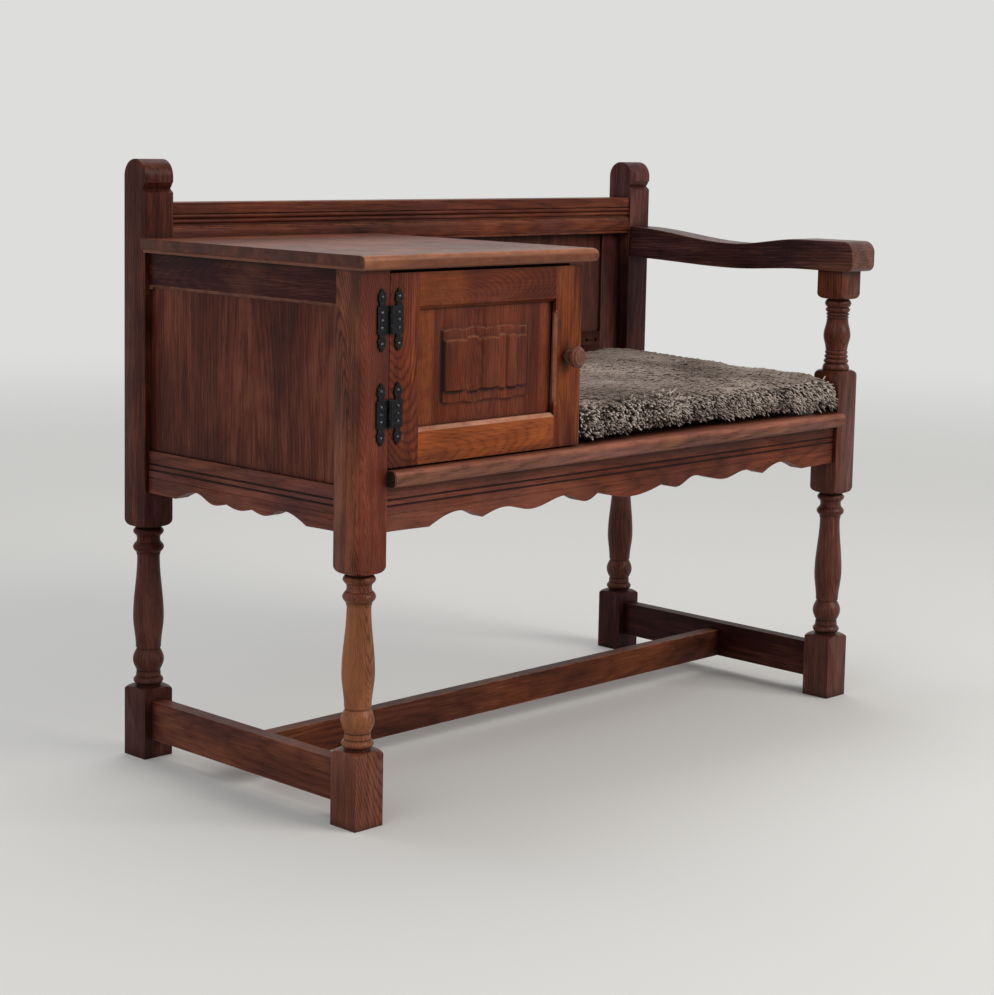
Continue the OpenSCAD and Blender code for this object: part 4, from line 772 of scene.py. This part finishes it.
# Outside its core the cushion's foot and front corners are spread
CORE_INSET, FOOT_REACH = 45 * MM, 26 * MM
FOOT_SPREAD, CORNER_SPREAD, RIGHT_CORNER_SPREAD = 15 * MM, 7 * MM, 8 * MM
# The back right corner stands highest: by how much, from where, and over which widths
CROWN = 6.5 * MM
CROWN_FROM = np.array((PAD_LOW[0] + 200 * MM, -170 * MM, SEAT_TOP))
CROWN_WIDTHS = np.array((260 * MM, 220 * MM, 50 * MM))
# Lumps: how many in a metre and how high, and from where up
LUMPS = ((14, 2.5 * MM), (40, 1.2 * MM))
LUMPS_ABOVE = SEAT_TOP + 20 * MM
# Room of the pile: at the sides and the back it ends at wood. Only in front of the right post's
# face may a lock lie across its corner.
PILE_LEFT, PILE_RIGHT = PAD_LOW[0] - 2.5 * MM, PAD_HIGH[0] + 7 * MM
PILE_FRONT, PILE_BACK = PAD_LOW[1] - 11 * MM, PAD_HIGH[1] + 2.5 * MM
PILE_FLOOR = SEAT_TOP + 1.5 * MM
ROOTS_IN = 4 * MM
POST_FACE, ACROSS_POST = PAD_LOW[1] - 2.5 * MM, 10 * MM
# The foot of the pile draws back from its front
TUCK, TUCK_HEIGHT = 5 * MM, 14 * MM
# The nap lies this way, an angle from x
COMBED = math.radians(-42)
# Spacing of the locks, how many points are drawn for each that it asks for, and where a face
# counts as top or as underside by its normal's z
TOP_CLUMP, SIDE_CLUMP, CELL_SHARE, DRAWN = 4.3 * MM, 2.9 * MM, 0.92, 1.5
TOP_FACING, UNDER_FACING = 0.75, -0.3
STRANDS = 3
# Where a lock's rings lie along it, crowded at the tip to round it
LOCK_STEPS = np.array([0, 0.22, 0.45, 0.66, 0.84, 0.96, 1.0])
FLAT_RADII = 0.85 * MM * np.array([0.8, 1.0, 1.05, 1.0, 0.85, 0.5, 0.04])
CURLY_RADII = np.array([0.6, 0.85, 1.0, 1.1, 1.05, 0.65, 0.04]) * MM
STRAND_RINGS = 1.4 * MM * np.array([1.0, 1.1, 1.05, 0.9, 0.65, 0.45, 0.4])
ROOT_DEPTH, STRAY = 0.8 * MM, 0.15 * MM
LOW_REACH, CORNER_REACH = 30 * MM, 26 * MM
# Width of the rim of curly locks at the left, and its growth to the right
RIM_WIDTH, RIM_GROWTH = 26 * MM, 18 * MM
CURLY_FROM = 0.42
PIECE_FACES = 180000
# Noise fields of the pile: features in a metre, and where they are taken
FIELDS = {
    "comb": (4.5, (3.1, 0, 0)), "eddy": (15, (0, 5.2, 0)), "ridge": (22, (9.4, 0, 0)),
    "patch": (8, (1.4, 0, 3)), "lobe": (66, (1.5, 8.2, 3)), "clump": (21, (7.5, 0.2, 3)),
    "rim": (15, (2, 4, 6)),
}


def applied(piece):
    """Puts what the modifiers do into the mesh, and drops them."""
    shown = piece.evaluated_get(bpy.context.evaluated_depsgraph_get())
    mesh = bpy.data.meshes.new_from_object(shown)
    piece.modifiers.clear()
    piece.data = mesh


def fill_out(points):
    """Spreads the cushion's foot and front corners, and sets its underside on the board."""
    low, high = points[:, 2].min(), points[:, 2].max()
    points[:, 2] = CUSHION_FLOOR + (points[:, 2] - low) * (high - CUSHION_FLOOR) / (high - low)
    core_low, core_high = np.array(PAD_LOW[:2]) + CORE_INSET, np.array(PAD_HIGH[:2]) - CORE_INSET
    core = np.clip(points[:, :2], core_low, core_high)
    away = points[:, :2] - core
    far = np.linalg.norm(away, axis=1)
    foot = share_of(1 - (points[:, 2] - SEAT_TOP) / FOOT_REACH) ** 1.3
    corner = share_of(np.abs(away).min(axis=1) / (CORE_INSET * 0.6))
    corner *= points[:, 1] < core_low[1]
    right_corner = corner * (points[:, 0] > core_high[0])
    push = FOOT_SPREAD * foot + CORNER_SPREAD * corner + RIGHT_CORNER_SPREAD * right_corner
    grown = far + push * eased(far, 0, CORE_INSET * 0.7)
    points[:, :2] = core + away * (grown / np.maximum(far, 1e-9))[:, None]
    points[:, 0] = np.clip(points[:, 0], PILE_LEFT, PILE_RIGHT)
    points[:, 1] = np.clip(points[:, 1], PILE_FRONT + ROOTS_IN, PILE_BACK)
    return points


def swell(cushion):
    """Blows the cushion up as cloth under pressure, each point by SWELL_CAP at most."""
    slack = vectors(cushion.data.vertices)
    cloth = put(
        modify(cushion, "CLOTH").settings, use_pressure=True, uniform_pressure_force=PRESSURE,
        tension_stiffness=STIFFNESS, compression_stiffness=STIFFNESS,
    )
    cloth.effector_weights.gravity = 0
    for frame_number in range(1, CLOTH_FRAMES + 1):
        SCENE.frame_set(frame_number)
    applied(cushion)
    SCENE.frame_set(1)
    moved = vectors(cushion.data.vertices) - slack
    far = np.linalg.norm(moved, axis=1, keepdims=True)
    points = slack + moved * np.minimum(1, SWELL_CAP / np.maximum(far, 1e-9))
    points[:, 2] = np.maximum(points[:, 2], CUSHION_FLOOR)
    cushion.data.vertices.foreach_set("co", points.ravel())


def make_cushion():
    """The pad's body: the CAD solid drawn inwards, then swollen and lightly uneven."""
    mesh = NODES["seat_pad"].data.copy()
    mesh.name = "pad_cushion"
    cushion = added("pad_cushion", mesh)
    modify(cushion, "WELD", merge_threshold=CUSHION_WELD)
    modify(cushion, "DISPLACE", strength=-CUSHION_INSET, mid_level=0)
    modify(cushion, "REMESH", mode="VOXEL", voxel_size=VOXEL)
    applied(cushion)
    swell(cushion)
    modify(cushion, "SUBSURF", levels=1, render_levels=1)
    applied(cushion)
    points = fill_out(vectors(cushion.data.vertices))
    points[:, 2] += CROWN * eased(points, CROWN_FROM, CROWN_WIDTHS).prod(axis=1)
    for p in points:
        if p[2] > LUMPS_ABOVE:
            p[2] += sum(rise * noise.noise(Vector(p) * scale) for scale, rise in LUMPS)
    cushion.data.vertices.foreach_set("co", points.ravel())
    cushion.data.shade_smooth()
    return cushion


def unit(v):
    return v / (np.linalg.norm(v, axis=-1, keepdims=True) + 1e-12)


def field(kind, points, stretch=(1, 1, 1)):
    """Smooth noise from -1 to 1 at each point."""
    scale, shift = FIELDS[kind]
    return np.array([noise.noise(Vector(p) * scale + Vector(shift)) for p in points * stretch])


def spread(rng, middle, deviation, least, most):
    """Random values about their middles, held between two limits."""
    return np.clip(middle + rng.normal(0, deviation, len(middle)), least, most)


def sample_surface(mesh, rng):
    """Points spread evenly over the cushion's top and sides, with their normals."""
    mesh.calc_loop_triangles()
    corners = vectors(mesh.loop_triangles, "vertices", np.int64)
    tri, tri_normals = (vectors(mesh.vertices, name)[corners] for name in ("co", "normal"))
    flat = np.cross(tri[:, 1] - tri[:, 0], tri[:, 2] - tri[:, 0])
    area = np.linalg.norm(flat, axis=1) / 2
    facing = flat[:, 2] / (2 * area + 1e-12)
    step = np.where(facing > TOP_FACING, TOP_CLUMP, SIDE_CLUMP)
    expected = np.where(facing < UNDER_FACING, 0, area / step ** 2) * DRAWN
    count = int(expected.sum())
    chosen = rng.choice(len(area), size=count, p=expected / expected.sum())
    u, v = rng.random(count), rng.random(count)
    over = u + v > 1
    u[over], v[over] = 1 - u[over], 1 - v[over]
    weights = np.stack([1 - u - v, u, v], axis=1)[:, :, None]
    place = (tri[chosen] * weights).sum(axis=1)
    normal = unit((tri_normals[chosen] * weights).sum(axis=1))
    # of points that crowd one cell, one stays, which evens the spread
    cell = np.where(normal[:, 2:3] > TOP_FACING, TOP_CLUMP, SIDE_CLUMP) * CELL_SHARE
    keys = np.floor(place / cell).astype(np.int64)
    _, kept = np.unique(keys, axis=0, return_index=True)
    return place[kept], normal[kept]


def wound(middle, one, two, ring, swirl):
    """Paths that wind round their middles in the plane of one and two, ring away from them."""
    return middle + one[:, None, :] * (ring * np.cos(swirl))[:, :, None] \
        + two[:, None, :] * (ring * np.sin(swirl))[:, :, None]


def grow_flat(p, n, s, rng):
    """Clumps of strands that lie nearly flat, combed by slow noise fields. p are their roots, n
    the cushion's normals there, and s how much each stands on a side."""
    t = LOCK_STEPS
    count = len(p)
    angle = COMBED + field("comb", p) + 0.6 * field("eddy", p) + rng.normal(0, 0.25, count)
    lie = np.stack([np.cos(angle), np.sin(angle), np.zeros(count)], axis=1)
    lie = unit(lie - n * (lie * n).sum(axis=1, keepdims=True))
    other = unit(np.cross(n, lie))
    ridge, patch = field("ridge", p, (1.4, 1.4, 1)), field("patch", p, (1, 1.2, 1))
    tone = 0.50 + 0.28 * ridge + 0.85 * patch + rng.normal(0, 0.07, count)
    length = spread(rng, 8.6 + 1.5 * s, 1.0, 6, 12) * MM
    stand = spread(rng, 0.25 + 0.25 * s + 0.08 * ridge, 0.05, 0.12, 0.6)
    rise = (length * stand)[:, None] * np.sin(t * math.pi / 2)
    lean = (length * (1 - 0.4 * stand))[:, None] * t ** 1.15
    middle = (p - n * ROOT_DEPTH)[:, None, :] + rise[:, :, None] * n[:, None, :] \
        + lean[:, :, None] * lie[:, None, :]
    turn = rng.choice((-1, 1), count) * 1.4
    first = rng.random(count) * 2 * math.pi
    grown = []
    for strand in range(STRANDS):
        phase = first + 2 * math.pi * strand / STRANDS + rng.normal(0, 0.35, count)
        swirl = phase[:, None] + turn[:, None] * t
        path = wound(middle, lie, other, STRAND_RINGS, swirl)
        path[:, 1:-1] += rng.normal(0, STRAY, (count, len(t) - 2, 3))
        radius = (1 + rng.normal(0, 0.1, (count, 1))) * FLAT_RADII
        grown.append((path, radius, tone + rng.normal(0, 0.04, count), 0.5 * s))
    return [np.concatenate(part) for part in zip(*grown)]


def grow_curly(p, n, s, front, rng):
    """Short curls with round tips, which a noise field parts into lobes. To the right they grow
    sleeker and lie combed down."""
    lobe = 0.55 * field("lobe", p) + field("clump", p, (1, 1, 0.6))
    low = share_of(1 - (p[:, 2] - SEAT_TOP) / LOW_REACH)
    sleek = eased(p[:, 0], PAD_LOW[0] + 0.10, 0.26)
    stay = lobe + rng.normal(0, 0.2, len(p)) > -0.60 - 0.5 * low
    p, n, s, front, lobe, low, sleek = (part[stay] for part in (p, n, s, front, lobe, low, sleek))
    t = LOCK_STEPS
    count = len(p)
    down = np.array([[0, 0, -1.0]])
    combed = np.array([[math.cos(COMBED), math.sin(COMBED), 0]])
    corner = share_of(1 - np.abs(p[:, 0] - PAD_HIGH[0]) / CORNER_REACH) * front
    out = unit(n * (0.8 + 0.2 * s - 0.4 * sleek)[:, None]
               + down * (0.18 * s + 0.35 * sleek + 0.3 * corner * low)[:, None]
               + combed * (0.4 * sleek)[:, None] + rng.normal(0, 0.28, (count, 3))
               + np.array([[0, -0.2, 0]]) * front[:, None])
    other = unit(np.cross(out, rng.normal(size=(count, 3))))
    third = np.cross(out, other)
    length = spread(rng, 8.4 + 4.0 * lobe + 5 * corner, 1.2, 4.5, 14) * MM
    # painted light and shade: locks of a lobe, which stand further out, are paler; low locks and
    # those towards the left end are darker
    tone = 0.68 + 0.42 * lobe + rng.normal(0, 0.2, count) - 0.52 * low - 0.10 * (1 - sleek)
    phase = rng.random(count) * 2 * math.pi
    turn = rng.choice((-1, 1), count) * rng.uniform(2.5, 5.5, count)
    swirl = phase[:, None] + turn[:, None] * t
    curl = rng.uniform(0.8, 1.9, count) * MM * (1 - 0.45 * sleek)
    curl = curl[:, None] * np.minimum(t * 1.6, 1)
    middle = (p - n * ROOT_DEPTH)[:, None, :] + out[:, None, :] * (length[:, None] * t)[:, :, None]
    path = wound(middle, other, third, curl, swirl)
    path[:, :, 2] -= (s * length * 0.16)[:, None] * t ** 2
    radius = (rng.uniform(0.85, 1.35, count) * (1 - 0.2 * sleek))[:, None] * CURLY_RADII
    return [path, radius, tone, np.maximum(s, 0.6) * (1 - 0.3 * sleek)]


def grow_locks(place, normal, rng):
    """The pile's two kinds of locks: flat ones on top, curly ones on the rim and the sides."""
    side = share_of((0.88 - normal[:, 2]) / 0.4)
    rim_width = RIM_WIDTH + RIM_GROWTH * eased(place[:, 0], PAD_LOW[0] + 0.04, 0.14)
    front = share_of(1 - (place[:, 1] - PAD_LOW[1]) / rim_width)
    rim = share_of(front * 1.35) * share_of(0.8 + field("rim", place))
    side = np.maximum(side, rim * 0.85)
    curly = side + rng.uniform(-0.16, 0.16, len(place)) > CURLY_FROM
    flat = grow_flat(place[~curly], normal[~curly], side[~curly], rng)
    return flat, grow_curly(place[curly], normal[curly], side[curly], front[curly], rng)


def keep_clear(path):
    """Holds the pile off the seat board and the wood beside it."""
    right = np.where(path[:, :, 1] < POST_FACE, PILE_RIGHT + ACROSS_POST, PILE_RIGHT)
    path[:, :, 0] = np.clip(path[:, :, 0], PILE_LEFT, right)
    tuck = TUCK * share_of(1 - (path[:, :, 2] - SEAT_TOP) / TUCK_HEIGHT)
    path[:, :, 1] = np.clip(path[:, :, 1], PILE_FRONT + tuck, PILE_BACK)
    path[:, :, 2] = np.maximum(path[:, :, 2], PILE_FLOOR)
    return path


def lock_meshes(name, around, paths, radii, shades, sides):
    """Sweeps a polygon of so many sides around every path, in several pieces."""
    rings = len(LOCK_STEPS)
    order = np.argsort(paths[:, 0, 0], kind="stable")
    paths, radii, shades, sides = (part[order] for part in (paths, radii, shades, sides))
    paths = keep_clear(paths)
    tangent = unit(np.gradient(paths, axis=1))
    guide = np.where(np.abs(tangent[:, :, 2:3]) > 0.9, (1.0, 0.0, 0.0), (0.0, 0.0, 1.0))
    one = unit(np.cross(tangent, guide))
    two = np.cross(tangent, one)
    turns = (2 * math.pi * np.arange(around) / around)[:, None]
    rim = paths[:, :, None, :] + radii[:, :, None, None] * (
        one[:, :, None, :] * np.cos(turns) + two[:, :, None, :] * np.sin(turns))
    ring, side = np.divmod(np.arange((rings - 1) * around), around)
    here, beside = ring * around + side, ring * around + (side + 1) % around
    quads = np.stack([here, beside, beside + around, here + around], axis=1)
    per = rings * around
    bunch = PIECE_FACES // (2 * len(quads))
    made = []
    for index, start in enumerate(range(0, len(paths), bunch)):
        part = slice(start, start + bunch)
        points = rim[part].reshape(-1, 3)
        count = len(points) // per
        faces = (quads[None] + (np.arange(count) * per)[:, None, None]).reshape(-1, 4)
        mesh = bpy.data.meshes.new("%s_%d" % (name, index))
        mesh.from_pydata(points.tolist(), [], faces.tolist(), shade_flat=False)
        store(mesh, "along", np.tile(np.repeat(LOCK_STEPS, around), count))
        store(mesh, "shade", np.repeat(shades[part], per))
        store(mesh, "side", np.repeat(sides[part], per))
        made.append(added(mesh.name, mesh))
    return made


def fleece(name, roots_only=False):
    """Grey-brown wool: near-black at the roots, as painted shade among the locks, and pale and
    slightly glossy at the tips, partly the wool's own colour and partly painted highlight. The
    roots_only cushion is painted darker on its sides than on top.
    """
    s = Shader(name)
    place = s.coordinates()
    fine = s.noise(place, 420, detail=3, roughness=0.6)
    if roots_only:
        # painted shade: the cushion's sides and underside are darker than its top
        up = s.node("SeparateXYZ", {0: s.node("NewGeometry").outputs["Normal"]}).outputs["Z"]
        colour = s.mix(s.levels(up, 0.5, 0.92), s.mix(fine, srgb(24, 18, 16), srgb(44, 35, 31)),
                       s.mix(fine, srgb(74, 62, 56), srgb(104, 90, 81)))
    else:
        of = s.attribute
        shade = s.sum((of("shade"), 0.8), (fine, 0.2))
        flat = s.ramp(shade, [(0.08, srgb(92, 78, 70)), (0.40, srgb(124, 109, 100)),
                              (0.66, srgb(145, 129, 119)), (0.92, srgb(168, 152, 141))])
        curly = s.ramp(shade, [(0.10, srgb(62, 51, 46)), (0.40, srgb(130, 115, 106)),
                               (0.62, srgb(178, 164, 153)), (0.90, srgb(212, 200, 189))])
        # painted shade: roots of low and side locks go near-black
        shaded_root = s.mix(s.levels(of("shade"), 0.25, 0.75), srgb(13, 10, 11), srgb(90, 77, 69))
        root = s.mix(of("side"), srgb(112, 98, 89), shaded_root)
        depth = s.levels(of("along"), s.times(of("side"), 0.38),
                         s.sum((of("side"), 0.45), (1.0, 0.45)), curve="SMOOTHSTEP")
        colour = s.mix(depth, root, s.mix(of("side"), flat, curly))
    s.principled(
        Base_Color=colour, Roughness=0.76, Specular_IOR_Level=0.18,
        Sheen_Weight=0.0 if roots_only else 0.15, Sheen_Roughness=0.4,
        Sheen_Tint=srgb(200, 188, 172), Normal=s.bump(fine, 0.3, 0.3 * MM),
    )
    return s.material


def make_pad():
    rng = np.random.default_rng(7)
    cushion = dress(make_cushion(), fleece("fleece_roots", roots_only=True))
    place, normal = sample_surface(cushion.data, rng)
    flat, curly = grow_locks(place, normal, rng)
    pile = lock_meshes("pile", 3, *flat) + lock_meshes("curl", 5, *curly)
    skin = fleece("fleece")
    for piece in pile:
        dress(piece, skin)
    for piece in [cushion] + pile:
        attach(piece, "pad")
    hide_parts("seat_pad")


make_pad()


# Stage, in metres: how far the floor reaches and where it fades into the surround
FLOOR_REACH = 40
FADE_FROM, FADE_TO = 1.0, 5.5
SURROUND = srgb(221, 221, 219)
# Lamps: place, size, watts and colour, all turned to one place
LAMPS = {
    "key": ((1.3, -3.4, 2.5), (2.4, 2.0), 100, (1.0, 0.97, 0.93)),
    "fill": ((-3.2, -0.6, 2.0), (2.4, 2.0), 22, (0.93, 0.96, 1.0)),
    "sky": ((0.3, 1.2, 3.4), (3.0, 2.0), 42, (0.95, 0.97, 1.0)),
}
LIT_PLACE = Vector((0, 0, 0.4))


def make_floor():
    """A plain pale floor, which fades into the surround far from the object."""
    mesh = bpy.data.meshes.new("floor")
    corners = ((-1, -1), (1, -1), (1, 1), (-1, 1))
    mesh.from_pydata([(x * FLOOR_REACH, y * FLOOR_REACH, 0) for x, y in corners], [], [range(4)])
    s = Shader("floor")
    weave = s.noise(s.coordinates(), 900, detail=2)
    s.principled(
        Base_Color=s.mix(weave, srgb(210, 208, 203), srgb(220, 218, 214)), Roughness=0.9,
        Specular_IOR_Level=0.1,
    )
    away = s.vector("LENGTH", s.coordinates(), output="Value")
    fading = s.levels(away, FADE_FROM, FADE_TO, curve="SMOOTHSTEP")
    clear = s.node("BsdfTransparent").outputs[0]
    fade = s.node("MixShader", {0: fading, 1: s.surface.outputs[0], 2: clear})
    s.set(s.output, "Surface", fade.outputs[0])
    floor = dress(added("floor", mesh), s.material)


def make_surround():
    """Soft light from all sides, behind a plain pale colour for the rays that show it."""
    world = bpy.data.worlds.new("surround")
    SCENE.world = world
    world.use_nodes = True
    w = Nodes(world.node_tree)
    light = w.node("Background", {"Color": (0.95, 0.97, 1.0, 1), "Strength": 0.5})
    seen = w.node("Background", {"Color": SURROUND})
    rays = w.node("LightPath").outputs
    shown = w.math("MAXIMUM", rays["Is Camera Ray"], rays["Is Glossy Ray"])
    shown = w.math("MAXIMUM", shown, rays["Is Transmission Ray"])
    mix = w.node("MixShader", {0: shown, 1: light.outputs[0], 2: seen.outputs[0]})
    w.node("OutputWorld", {"Surface": mix.outputs[0]})


def make_lamps():
    for name, (place, size, watts, colour) in LAMPS.items():
        data = bpy.data.lights.new(name, "AREA")
        put(data, shape="RECTANGLE", size=size[0], size_y=size[1], energy=watts, color=colour)
        lamp = added(name, data)
        lamp.location = place
        lamp.rotation_euler = (LIT_PLACE - Vector(place)).to_track_quat("-Z", "Y").to_euler()


make_camera()
make_floor()
make_surround()
make_lamps()
SCENE.view_settings.view_transform = "Standard"
